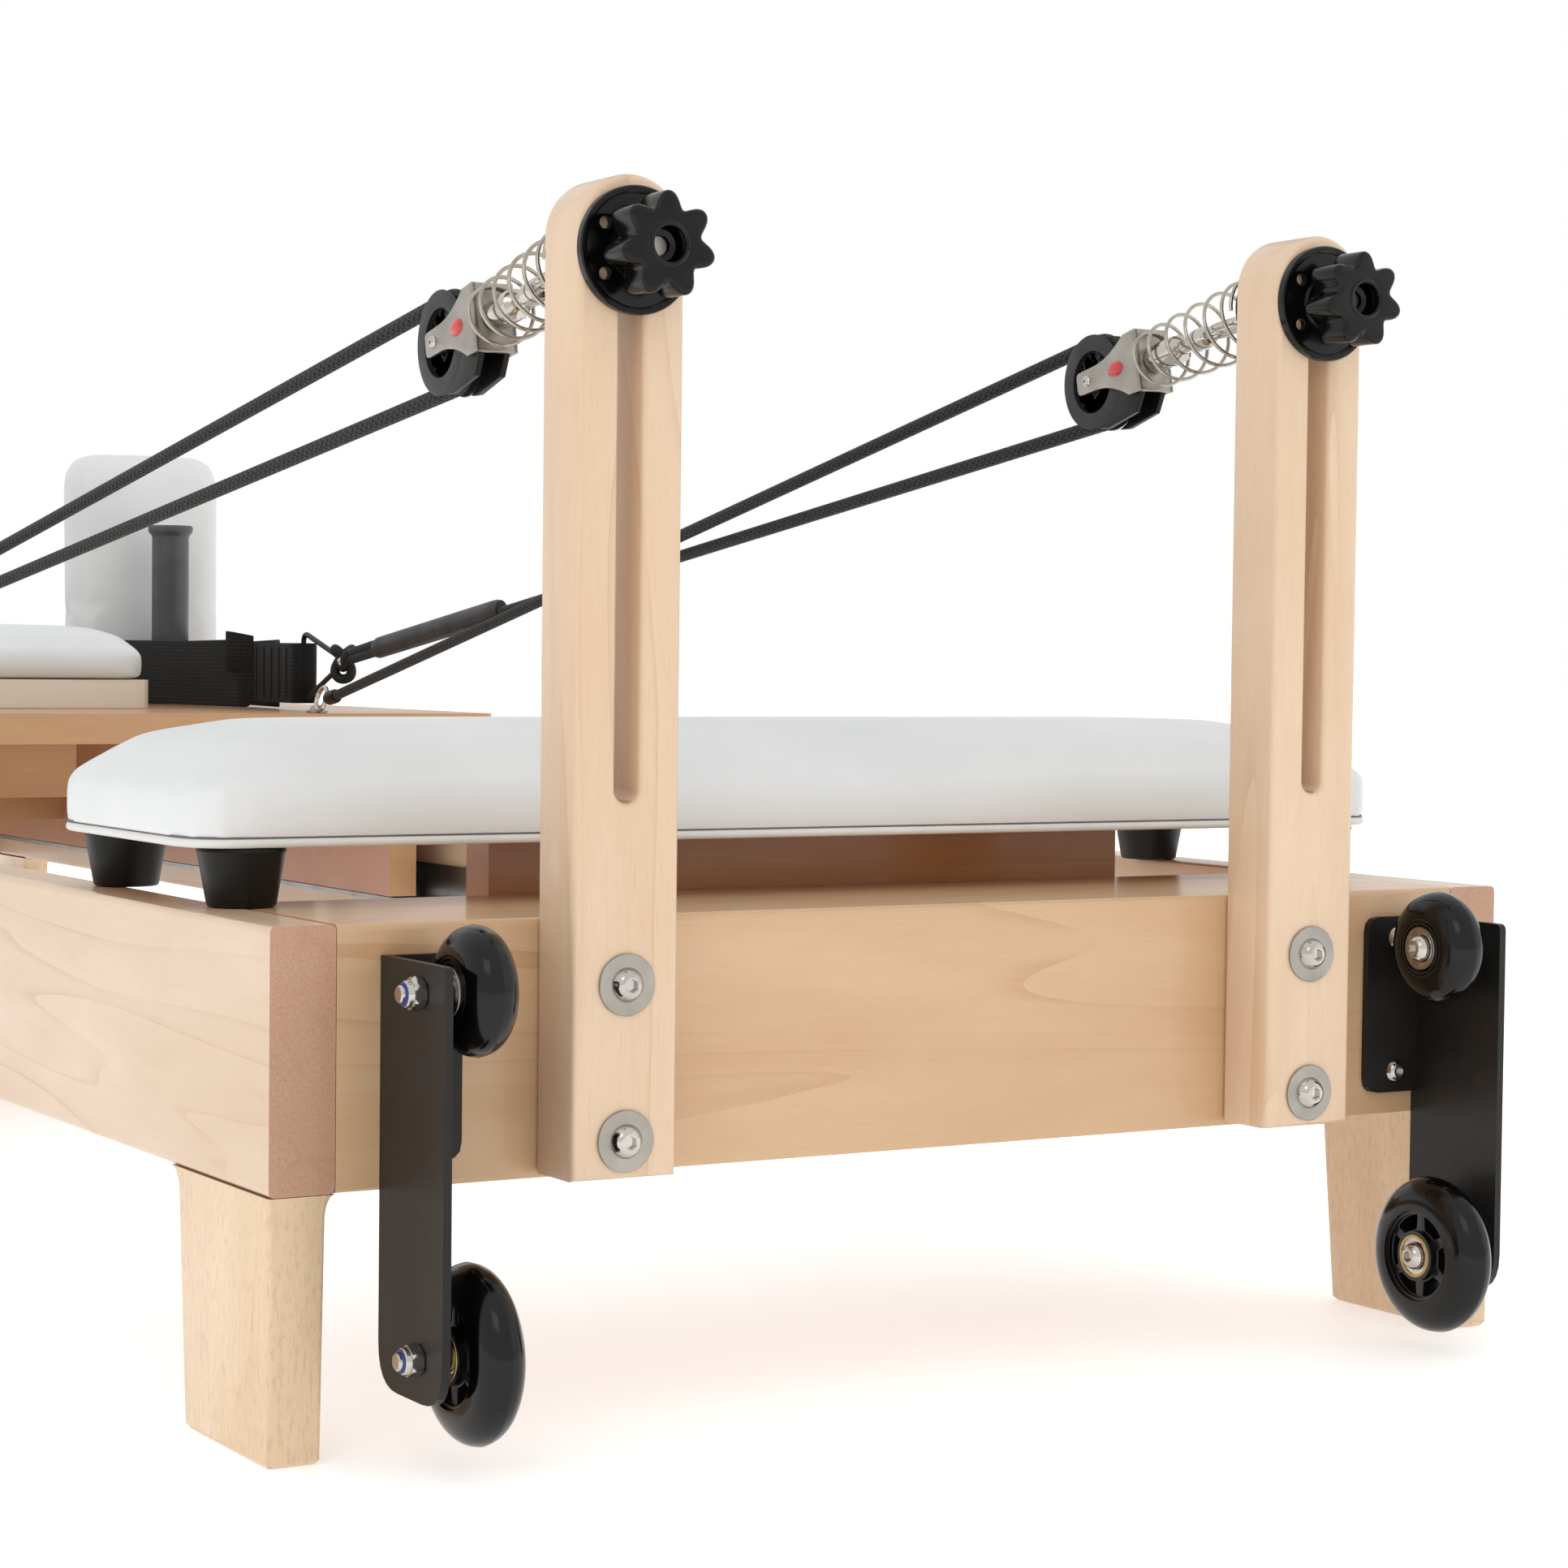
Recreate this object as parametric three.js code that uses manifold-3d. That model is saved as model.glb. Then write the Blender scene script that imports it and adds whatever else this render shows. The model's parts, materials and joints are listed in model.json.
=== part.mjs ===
// Pilates reformer: maple frame with riser posts, rope pulleys, a rolling carriage,
// a lift-off standing platform, transport wheels and a folding footbar.
// Millimetres, +Z up. X is the width, Y the length, and the riser posts are at the -Y end.
import * as THREE from 'three';
import { mergeVertices } from 'three/addons/utils/BufferGeometryUtils.js';
import { ConvexGeometry } from 'three/addons/geometries/ConvexGeometry.js';
import Module from 'manifold-3d';

const wasm = await Module();
wasm.setup();

// ---------------------------------------------------------------- driving dimensions
const gap = 0.3; // between pieces that touch
const runningGap = 0.4; // round a pin or axle

const frameLength = 2440;
const frameWidth = 700;
const legHeight = 118;
const railHeight = 118;
const railThickness = 31;
const edgeRadius = 3;
const endRailThickness = 30;
const deckDepth = 139;
const deckThickness = 22;
const legTop = { across: 27, along: 108 };
const legFoot = { across: 25, along: 98 };
const legFlare = 9;

const postSpacing = 390; // between the centre lines of the two riser posts
const postWidth = 53;
const postThickness = 36;
const postDrop = 115; // how far a post reaches below the rail top
const postRise = 331; // how far it stands above the rail top
const postBevel = 2;
const slotWidth = 12;
const slotBottom = 53; // above the rail top
const slotTop = 308;

const pulleyRise = 297; // stud above the rail top
const studDiameter = 10;
const flangeDiameter = 57;
const flangeThickness = 5;
const knobDiameter = 47;
const knobLobes = 7;
const knobThickness = 20;
const knobReach = 34; // knob's outer face in front of the post
const knobRecess = { diameter: 17, depth: 9 };
const seatDiameter = 46;
const seatThickness = 5;
const pulleyDroop = 11.3; // degrees, along the pull of the ropes
const sheaveDistance = 148; // sheave axle behind the post
const sheaveDiameter = 52;
const sheaveGroove = 18; // radius at the bottom of the groove
const sheaveWidth = 15;
const sheavePin = 6;
const blockPlate = 2.5;
const blockLength = 47;
const blockWidth = 34;
const coil = { wire: 2.6, turns: 6, big: 20, small: 15 };

const ropeDiameter = 8;
// Upper run's end, from the carriage's head edge: high on the loop on the left, in a ring on the board on the right.
const ringPlace = {
  left: { outward: 5, behind: 40, above: 50 },
  right: { outward: -2, behind: -8, above: 12 },
};
const knotPlace = { inward: 3, ahead: 12, above: 34 }; // lower run's end, from the strap's nose
const wheelPlate = 4;
const wheelPlateWidth = 66;
const wheelPlateInset = 52; // outer face of the plate from the frame's side
const wheelPlateTop = 14; // below the rail top
const wheelPlateBottom = 32; // above the floor
const wheelFlangeWidth = 38;
const wheelFlangeHeight = 92;
const upperWheel = { diameter: 58, width: 24, height: 209, shoulder: 6 };
const lowerWheel = { diameter: 80, width: 24, height: 51, shoulder: 11 };
const wheelOffset = 25; // wheel centre inboard of the plate's outer face
const axleDiameter = 8;
const axleReach = 43; // axle line in front of the end face

const platformDepth = 196;
const platformSetback = 90; // front edge behind the end face
const platformThickness = 49;
const platformBoard = 6;
const footHeight = 28;
const footTop = 21;
const footBottom = 16;
const footInset = { across: 32, along: 22 };
const blockUnder = { length: 380, depth: 25, drop: 24, clearance: 2, aside: 13 }; // drop is below the rail top

const trackWidth = 30;
const trackWall = 4;
const trackRise = 27; // top of the track above the rail's underside
const trackLip = 30;

const carriageHead = 1200; // head edge of the carriage behind the end face
const carriageLength = 1070;
const carriageMargin = 4.5; // board's sides inside the frame's sides
const carriageRise = 66; // board's top above the rail top
const boardThickness = 24;
const beamWidth = 24;
const beamInset = 62; // beam's outer face from the frame's side
const beamDepth = 128;
const spine = { width: 106, height: 50, start: 195, length: 500 };
const rollerDiameter = 36;
const rollerWidth = 14;
const rollerStub = 8;
const rollerSpace = 8; // between a beam and its roller
const stubEnd = 2; // stub beyond the roller
const rollerInset = 90; // roller axles from the ends of the beams

const padThickness = 44;
const pad = { width: 610, length: 560, start: 500 };
const headrest = { width: 230, length: 256, start: 183, base: 24, thickness: 43 };
const shoulder = { width: 144, height: 228, thickness: 50, spacing: 422, start: 445 };
const ropePost = { diameter: 33, height: 161, flange: 40, flangeHeight: 7, spacing: 426, start: 400 };
const strap = { height: 60, thickness: 3.5, length: 318, nose: 9, loop: 40 };

const springCount = 3;
const springDiameter = 27;
const springPitch = 95;
const springHeight = 200;
const springAnchor = 860; // spring anchor on the carriage, from its head edge
const springBarStart = 2330; // spring bar behind the head end face
const springBar = { depth: 30, height: 40 };

const footbarPivot = { along: 2050, height: 180 };
const footbarArm = 374;
const footbarLean = 63; // degrees from upright, towards the foot end
const footbarTube = 25;
const footbarCorner = 60;
const grip = { diameter: 38, length: 430 };

// ---------------------------------------------------------------- derived places
const railTop = legHeight + railHeight;
const headReach = Math.max(postThickness + knobReach, axleReach + lowerWheel.diameter / 2);
const headY = -(frameLength - headReach) / 2; // the head end face, so the whole is centred on Y
const footY = headY + frameLength;
const halfWidth = frameWidth / 2;
const innerHalf = halfWidth - railThickness;
const postX = postSpacing / 2;
const pulleyZ = railTop + pulleyRise;
const droop = THREE.MathUtils.degToRad(pulleyDroop);
const trackTop = legHeight + trackRise;
const boardTop = railTop + carriageRise;
const carriageY = headY + carriageHead;
const carriageEnd = carriageY + carriageLength;
const strapNose = carriageY + ropePost.start - strap.length;
const sides = [['left', -1], ['right', 1]];

// ---------------------------------------------------------------- materials
function finish(color, roughness, metalness = 0) {
  return () => new THREE.MeshStandardMaterial({ color, roughness, metalness });
}
const maple = finish(0xe6c79d, 0.35);
const blackSteel = finish(0x1b1b1c, 0.5, 0.4);
const stainless = finish(0xb9b7b2, 0.3, 1);
const blackPlastic = finish(0x141415, 0.3);
const urethane = finish(0x0c0c0d, 0.2);
const whiteVinyl = finish(0xe4e4e2, 0.5);
const blackRope = finish(0x17171a, 0.85);
const webbing = finish(0x18181a, 0.9);
const aluminium = finish(0xb5b7b9, 0.4, 1);
const anodised = finish(0x31363f, 0.45, 0.6);
const foam = finish(0x1c1c1e, 0.9);
const rubber = finish(0x151414, 0.7);

// ---------------------------------------------------------------- solids
function closed(geometry) {
  const bare = geometry.clone();
  bare.deleteAttribute('normal');
  bare.deleteAttribute('uv');
  return mergeVertices(bare, 1e-4);
}

function toSolid(geometry) {
  const merged = closed(geometry);
  const kept = [];
  const index = merged.index.array;
  for (let i = 0; i < index.length; i += 3) {
    const [a, b, c] = [index[i], index[i + 1], index[i + 2]];
    if (a !== b && b !== c && c !== a) kept.push(a, b, c);
  }
  const vertProperties = new Float32Array(merged.attributes.position.array);
  const triVerts = new Uint32Array(kept);
  return new wasm.Manifold(new wasm.Mesh({ numProp: 3, vertProperties, triVerts }));
}

function toGeometry(solid) {
  const mesh = solid.getMesh();
  const geometry = new THREE.BufferGeometry();
  geometry.setAttribute('position', new THREE.BufferAttribute(mesh.vertProperties, 3));
  geometry.setIndex(new THREE.BufferAttribute(mesh.triVerts, 1));
  geometry.computeVertexNormals();
  return geometry;
}

function joined(...geometries) {
  return toGeometry(geometries.map(toSolid).reduce((all, next) => all.add(next)));
}

function cut(geometry, ...tools) {
  return toGeometry(tools.map(toSolid).reduce((rest, tool) => rest.subtract(tool), toSolid(geometry)));
}

function common(a, b) {
  return toGeometry(toSolid(a).intersect(toSolid(b)));
}

// A box given by its lowest and highest corners.
function boxBetween(low, high) {
  const size = high.map((value, i) => value - low[i]);
  const middle = high.map((value, i) => (value + low[i]) / 2);
  return new THREE.BoxGeometry(...size).translate(...middle);
}

function cylinder(radius, length, segments = 20) {
  return new THREE.CylinderGeometry(radius, radius, length, segments);
}

function alongX(geometry) {
  return geometry.rotateZ(-Math.PI / 2);
}

function alongZ(geometry) {
  return geometry.rotateX(Math.PI / 2);
}

// A polygon whose corners are rounded by the given radii.
function roundedOutline(points, radii) {
  const shape = new THREE.Shape();
  const count = points.length;
  points.forEach((point, i) => {
    const radius = Array.isArray(radii) ? radii[i] : radii;
    const corner = new THREE.Vector2(...point);
    const before = new THREE.Vector2(...points[(i + count - 1) % count]);
    const after = new THREE.Vector2(...points[(i + 1) % count]);
    const start = before.sub(corner).setLength(radius).add(corner);
    const end = after.sub(corner).setLength(radius).add(corner);
    if (i === 0) shape.moveTo(start.x, start.y);
    else shape.lineTo(start.x, start.y);
    if (radius > 0) shape.quadraticCurveTo(corner.x, corner.y, end.x, end.y);
  });
  shape.closePath();
  return shape;
}

function extruded(shape, depth, curveSegments = 3) {
  return new THREE.ExtrudeGeometry(shape, { depth, bevelEnabled: false, curveSegments });
}

// An outline drawn in Y and Z, carried along X from a start.
function extrudedAlongX(shape, start, length, curveSegments) {
  const turn = new THREE.Matrix4().makeBasis(
    new THREE.Vector3(0, 1, 0), new THREE.Vector3(0, 0, 1), new THREE.Vector3(1, 0, 0));
  return extruded(shape, length, curveSegments).applyMatrix4(turn).translate(start, 0, 0);
}

// An outline drawn in X and Z, carried towards +Y from a start.
function extrudedAlongY(shape, start, length, curveSegments) {
  return extruded(shape, length, curveSegments).rotateX(Math.PI / 2).translate(0, start + length, 0);
}

// A ring turned about X: pairs are [radius, place along X], and the last joins the first.
function turnedAboutX(profile, segments = 20) {
  const points = [...profile, profile[0]].reverse().map(([radius, x]) => new THREE.Vector2(radius, x));
  return alongX(new THREE.LatheGeometry(points, segments));
}

// A route whose steps fall exactly on its points.
class PlacedRoute extends THREE.CatmullRomCurve3 {
  getPointAt(u) { return this.getPoint(u); }

  getTangentAt(u) { return this.getTangent(u); }
}

function tube(points, radius, sides = 8) {
  const section = new THREE.Shape();
  for (let i = 0; i < sides; i++) {
    const angle = (i / sides) * 2 * Math.PI;
    const place = [radius * Math.cos(angle), radius * Math.sin(angle)];
    if (i === 0) section.moveTo(...place);
    else section.lineTo(...place);
  }
  section.closePath();
  const extrudePath = new PlacedRoute(points, false, 'centripetal');
  return new THREE.ExtrudeGeometry(section, { steps: points.length - 1, extrudePath });
}

// A cushion: rounded rectangles at its foot, its wall's top and its flat crown, hulled together.
function cushion(width, depth, thickness, { wall, slope, corner }) {
  const layers = [[0, 2], [4, 0], [wall, 0], [thickness * 0.86, slope * 0.45], [thickness, slope]];
  const points = layers.flatMap(([z, inset]) => {
    const w = width / 2 - inset;
    const d = depth / 2 - inset;
    const outline = roundedOutline([[-w, -d], [w, -d], [w, d], [-w, d]], corner);
    return outline.getPoints(3).map((p) => new THREE.Vector3(p.x, p.y, z));
  });
  return new ConvexGeometry(points);
}

const reformer = new THREE.Group();
reformer.name = 'pilates_reformer';

function place(name, geometry, material) {
  const mesh = new THREE.Mesh(geometry, material());
  mesh.name = name;
  reformer.add(mesh);
}

// ---------------------------------------------------------------- frame
function sideRail(side) {
  const outer = side * halfWidth;
  const inner = side * innerHalf;
  const [low, high] = [Math.min(outer, inner), Math.max(outer, inner)];
  const section = roundedOutline(
    [[low, legHeight], [high, legHeight], [high, railTop], [low, railTop]], edgeRadius);
  const boreDepth = 22;
  const bore = alongX(cylinder(studDiameter / 2 + runningGap, boreDepth * 2))
    .translate(outer, headY + footbarPivot.along, footbarPivot.height);
  return cut(extrudedAlongY(section, headY, frameLength), bore);
}

function headEndRail() {
  const [y0, y1, y2] = [headY, headY + endRailThickness, headY + deckDepth];
  const under = railTop - deckThickness;
  const section = roundedOutline(
    [[y0, legHeight], [y1, legHeight], [y1, under], [y2, under], [y2, railTop], [y0, railTop]],
    [edgeRadius, edgeRadius, 0, edgeRadius, edgeRadius, edgeRadius]);
  return extrudedAlongX(section, gap - innerHalf, 2 * (innerHalf - gap));
}

function footEndRail() {
  const [y0, y1] = [footY - endRailThickness, footY];
  const section = roundedOutline(
    [[y0, legHeight], [y1, legHeight], [y1, railTop], [y0, railTop]], edgeRadius);
  return extrudedAlongX(section, gap - innerHalf, 2 * (innerHalf - gap));
}

// A leg tapers towards the floor both ways and flares to the rail above it.
function leg(side, end) {
  const top = legHeight - gap;
  const across = [[0, 0], [-legFoot.across, 0], [-legTop.across, top - legFlare],
    [-legTop.across - legFlare / 2, top], [0, top]];
  const along = [[0, 0], [legFoot.along, 0], [legTop.along, top - legFlare],
    [legTop.along + legFlare, top], [0, top]];
  const rounding = [1.5, 2, 2, 0, 0];
  const acrossShape = roundedOutline(across.map(([x, z]) => [side * (halfWidth + x), z]), rounding);
  const alongShape = roundedOutline(along.map(([y, z]) => [y, z]), rounding);
  const start = end > 0 ? headY : footY;
  const alongSolid = extrudedAlongX(alongShape, -halfWidth, frameWidth)
    .scale(1, end, 1);
  const turned = end > 0 ? alongSolid : flipped(alongSolid);
  return common(extrudedAlongY(acrossShape, -frameLength, 2 * frameLength), turned.translate(0, start, 0));
}

// Turns the faces of a mirrored geometry the right way round again.
function flipped(geometry) {
  const loose = geometry.index ? geometry.toNonIndexed() : geometry;
  const values = loose.attributes.position.array;
  for (let i = 0; i < values.length; i += 9) {
    for (let k = 0; k < 3; k++) {
      [values[i + 3 + k], values[i + 6 + k]] = [values[i + 6 + k], values[i + 3 + k]];
    }
  }
  return loose;
}

// An angle section screwed to the inside of a side rail; the carriage rolls on its flange.
function track(side) {
  const wall = side * (innerHalf - gap);
  const edge = wall - side * trackWidth;
  const low = trackTop - trackWall;
  const high = trackTop + trackLip;
  const start = headY + endRailThickness + gap;
  const end = footY - endRailThickness - gap;
  const flange = boxBetween([Math.min(wall, edge), start, low], [Math.max(wall, edge), end, trackTop]);
  const web = wall - side * trackWall;
  const upright = boxBetween([Math.min(wall, web), start, low], [Math.max(wall, web), end, high]);
  return joined(flange, upright);
}

for (const [name, side] of sides) {
  place(`side_rail_${name}`, sideRail(side), maple);
  place(`leg_head_${name}`, leg(side, 1), maple);
  place(`leg_foot_${name}`, leg(side, -1), maple);
  place(`track_${name}`, track(side), aluminium);
}
place('head_end_rail', headEndRail(), maple);
place('foot_end_rail', footEndRail(), maple);

// ---------------------------------------------------------------- riser posts
function riserPost(side) {
  const radius = postWidth / 2;
  const [bottom, crown] = [railTop - postDrop, railTop + postRise - radius];
  const outline = new THREE.Shape();
  outline.moveTo(-radius, bottom);
  outline.lineTo(radius, bottom);
  outline.lineTo(radius, crown);
  outline.absarc(0, crown, radius, 0, Math.PI);
  outline.closePath();
  const half = slotWidth / 2;
  const [low, high] = [railTop + slotBottom + half, railTop + slotTop - half];
  const slot = new THREE.Path();
  slot.moveTo(half, low);
  slot.lineTo(half, high);
  slot.absarc(0, high, half, 0, Math.PI);
  slot.lineTo(-half, low);
  slot.absarc(0, low, half, Math.PI, 2 * Math.PI);
  outline.holes.push(slot);
  const depth = postThickness - gap - 2 * postBevel;
  const bevel = {
    bevelThickness: postBevel, bevelSize: postBevel, bevelOffset: -postBevel, bevelSegments: 1,
  };
  return new THREE.ExtrudeGeometry(outline, { depth, ...bevel, curveSegments: 9 })
    .rotateX(Math.PI / 2)
    .translate(side * postX, headY - gap - postBevel, 0);
}

for (const [name, side] of sides) {
  place(`riser_post_${name}`, riserPost(side), maple);
}

// ---------------------------------------------------------------- transport wheels
const wheels = [['upper', upperWheel], ['lower', lowerWheel]];

// An angle plate: its flange is screwed to the end face and its long leg carries both axles.
function wheelBracket(side) {
  const outer = side * (halfWidth - wheelPlateInset);
  const inner = outer - side * wheelPlate;
  const top = railTop - wheelPlateTop;
  const [front, back] = [headY - wheelPlateWidth, headY - gap];
  const [tight, round] = [4, 20];
  const plate = extrudedAlongX(
    roundedOutline([[front, wheelPlateBottom], [back, wheelPlateBottom], [back, top], [front, top]],
      [round, round, 0, tight]),
    Math.min(outer, inner), wheelPlate, 6);
  const edge = outer - side * wheelFlangeWidth;
  const corner = 8;
  const low = top - wheelFlangeHeight;
  const flange = extrudedAlongY(
    roundedOutline([[outer, low], [edge, low], [edge, top], [outer, top]], [0, corner, corner, 0]),
    back - wheelPlate, wheelPlate);
  const holes = wheels.map(([, wheel]) => alongX(cylinder(axleDiameter / 2 + runningGap, 4 * wheelPlate))
    .translate(outer, headY - axleReach, wheel.height));
  return cut(joined(plate, flange), ...holes);
}

function transportWheel(side, wheel) {
  const bore = axleDiameter / 2 + runningGap;
  const radius = wheel.diameter / 2;
  const half = wheel.width / 2;
  const hub = radius * 0.42;
  const dish = 2;
  const steps = 2;
  const tread = [];
  for (let i = 0; i <= steps; i++) {
    const angle = (i / steps) * (Math.PI / 2);
    const across = half - wheel.shoulder * (1 - Math.cos(angle));
    tread.push([radius - wheel.shoulder * (1 - Math.sin(angle)), across]);
  }
  const right = [[bore, half - dish], [hub, half - dish], [hub + dish, half], ...tread];
  const left = [...right].reverse().map(([r, x]) => [r, -x]);
  return turnedAboutX([...right, ...left], 24)
    .translate(side * (halfWidth - wheelPlateInset - wheelOffset), headY - axleReach, wheel.height);
}

// A bolt with its head on the inboard side, a spacer by the plate and a lock nut outboard.
function wheelAxle(side, wheel) {
  const outer = halfWidth - wheelPlateInset;
  const wheelOuter = outer - wheelOffset + wheel.width / 2;
  const wheelInner = wheelOuter - wheel.width;
  const headLength = 5;
  const nutLength = 7.5;
  const tip = outer + nutLength + 2;
  const headEnd = wheelInner - gap - headLength;
  const spacerStart = wheelOuter + gap;
  const spacerEnd = outer - wheelPlate - gap;
  const piece = (radius, from, to, segments) => alongX(cylinder(radius, to - from, segments))
    .translate(side * (from + to) / 2, 0, 0);
  return joined(
    piece(axleDiameter / 2, headEnd, tip, 12),
    piece(7, headEnd, headEnd + headLength, 12),
    piece(6.5, spacerStart, spacerEnd, 12),
    piece(7.5, outer + gap, outer + gap + nutLength, 6),
  ).translate(0, headY - axleReach, wheel.height);
}

for (const [name, side] of sides) {
  place(`wheel_bracket_${name}`, wheelBracket(side), blackSteel);
  for (const [level, wheel] of wheels) {
    place(`transport_wheel_${level}_${name}`, transportWheel(side, wheel), urethane);
    place(`wheel_axle_${level}_${name}`, wheelAxle(side, wheel), stainless);
  }
}

// ---------------------------------------------------------------- pulleys
// Pulley pieces are drawn with the stud's line on Y and the post's back face at Y = 0.
// What hangs behind the post is tilted about the stud's back end by the droop.
const pivotY = 8; // where the straight stud meets the drooping shackle
const blockBack = sheaveDistance / Math.cos(droop) - pivotY; // sheave axle from the pivot
const bridge = blockBack - blockLength; // inner face of the block's bridge

function tilted(geometry) {
  return geometry.rotateX(-droop).translate(0, pivotY, 0);
}

function atPulley(geometry, side) {
  return geometry.translate(side * postX, headY, pulleyZ);
}

function heightKnob(side) {
  const radius = knobDiameter / 2;
  const perLobe = 5;
  const lobeDepth = 2.6;
  const count = knobLobes * perLobe;
  const star = new THREE.Shape();
  for (let i = 0; i < count; i++) {
    const angle = (i / count) * 2 * Math.PI;
    const reach = radius - lobeDepth * (1 - Math.cos(knobLobes * angle));
    const point = [reach * Math.sin(angle), reach * Math.cos(angle)];
    if (i === 0) star.moveTo(...point);
    else star.lineTo(...point);
  }
  star.closePath();
  const bevel = 1.5;
  const body = new THREE.ExtrudeGeometry(star, {
    depth: knobThickness - 2 * bevel, bevelThickness: bevel, bevelSize: bevel, bevelOffset: -bevel,
    bevelSegments: 1,
  }).rotateX(Math.PI / 2);
  const outerFace = -postThickness - knobReach;
  const innerFace = outerFace + knobThickness;
  const hubEnd = -postThickness - gap - flangeThickness - gap;
  body.translate(0, innerFace - bevel, 0);
  const overlap = 1;
  const hub = cylinder(12, hubEnd - innerFace + overlap).translate(0, (hubEnd + innerFace - overlap) / 2, 0);
  const recess = cylinder(knobRecess.diameter / 2, knobRecess.depth * 2).translate(0, outerFace, 0);
  const through = cylinder(studDiameter / 2 + runningGap, 4 * knobReach)
    .translate(0, outerFace, 0);
  return atPulley(cut(joined(body, hub), recess, through), side);
}

// Front flange, stud through the slot, spring seat behind the post and the drooping shackle.
function pulleyMount(side) {
  const front = -postThickness - gap;
  const studStart = -postThickness - knobReach + knobRecess.depth + 1;
  const flange = cylinder(flangeDiameter / 2, flangeThickness, 28)
    .translate(0, front - flangeThickness / 2, 0);
  const stud = cylinder(studDiameter / 2, pivotY - studStart, 16)
    .translate(0, (pivotY + studStart) / 2, 0);
  const seat = cylinder(seatDiameter / 2, seatThickness, 24).translate(0, gap + seatThickness / 2, 0);
  const knuckle = new THREE.SphereGeometry(studDiameter * 0.75, 10, 6).translate(0, pivotY, 0);
  const headLength = 5;
  const rodEnd = bridge + blockPlate + gap + headLength;
  const rod = cylinder(studDiameter / 2 - 1, rodEnd, 14).translate(0, rodEnd / 2, 0);
  const head = cylinder(studDiameter / 2 + 1, headLength, 14).translate(0, rodEnd - headLength / 2, 0);
  const swivelLength = 26;
  const swivel = cylinder(studDiameter / 2 + 2, swivelLength, 14)
    .translate(0, bridge - gap - swivelLength / 2, 0);
  return atPulley(joined(flange, stud, seat, knuckle, tilted(joined(rod, head, swivel))), side);
}

// A conical coil between the seat and the block.
function pulleySpring(side) {
  const stepsPerTurn = 10;
  const steps = coil.turns * stepsPerTurn;
  const start = coil.wire / 2 + seatThickness + 2 * gap + coil.big * Math.tan(droop) - pivotY;
  const end = bridge - coil.wire / 2 - gap;
  const points = [];
  for (let i = 0; i <= steps; i++) {
    const share = i / steps;
    const angle = share * coil.turns * 2 * Math.PI;
    const radius = coil.big + (coil.small - coil.big) * share;
    points.push(new THREE.Vector3(
      radius * Math.cos(angle), start + (end - start) * share, radius * Math.sin(angle)));
  }
  return atPulley(tilted(tube(points, coil.wire / 2, 5)), side);
}

// A steel strap bent into a U: two cheeks, a bridge for the swivel and the sheave's pin.
function pulleyBlock(side) {
  const inner = sheaveWidth / 2 + 1;
  const nose = 8;
  const cheekShape = roundedOutline([
    [bridge, -blockWidth / 2], [bridge + 14, -blockWidth / 2], [blockBack, -nose],
    [blockBack + nose, -nose], [blockBack + nose, nose], [blockBack, nose],
    [bridge + 14, blockWidth / 2], [bridge, blockWidth / 2]], [1, 3, 3, nose * 0.9, nose * 0.9, 3, 3, 1]);
  const cheeks = [1, -1].map((s) => extrudedAlongX(
    cheekShape, s > 0 ? inner : -inner - blockPlate, blockPlate));
  const reach = inner + blockPlate;
  const back = boxBetween([-reach, bridge, -blockWidth / 2], [reach, bridge + blockPlate, blockWidth / 2]);
  const pin = alongX(cylinder(sheavePin / 2, 2 * reach + 3, 16)).translate(0, blockBack, 0);
  const hole = cylinder(studDiameter / 2 - 1 + runningGap, 6 * blockPlate, 14).translate(0, bridge, 0);
  return atPulley(tilted(cut(joined(...cheeks, back, pin), hole)), side);
}

function pulleySheave(side) {
  const half = sheaveWidth / 2;
  const rim = sheaveDiameter / 2;
  const groove = [];
  const steps = 6;
  const land = 0.8;
  for (let i = 0; i <= steps; i++) {
    const angle = (i / steps) * Math.PI;
    const width = half - land;
    groove.push([rim - (rim - sheaveGroove) * Math.sin(angle), width * Math.cos(angle)]);
  }
  const bore = sheavePin / 2 + runningGap;
  const ring = [[bore, half], [rim - 1, half], ...groove, [rim - 1, -half], [bore, -half]];
  return atPulley(tilted(turnedAboutX(ring, 24).translate(0, blockBack, 0)), side);
}

for (const [name, side] of sides) {
  place(`height_knob_${name}`, heightKnob(side), blackPlastic);
  place(`pulley_mount_${name}`, pulleyMount(side), blackPlastic);
  place(`pulley_spring_${name}`, pulleySpring(side), stainless);
  place(`pulley_block_${name}`, pulleyBlock(side), stainless);
  place(`pulley_sheave_${name}`, pulleySheave(side), blackPlastic);
}

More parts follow.
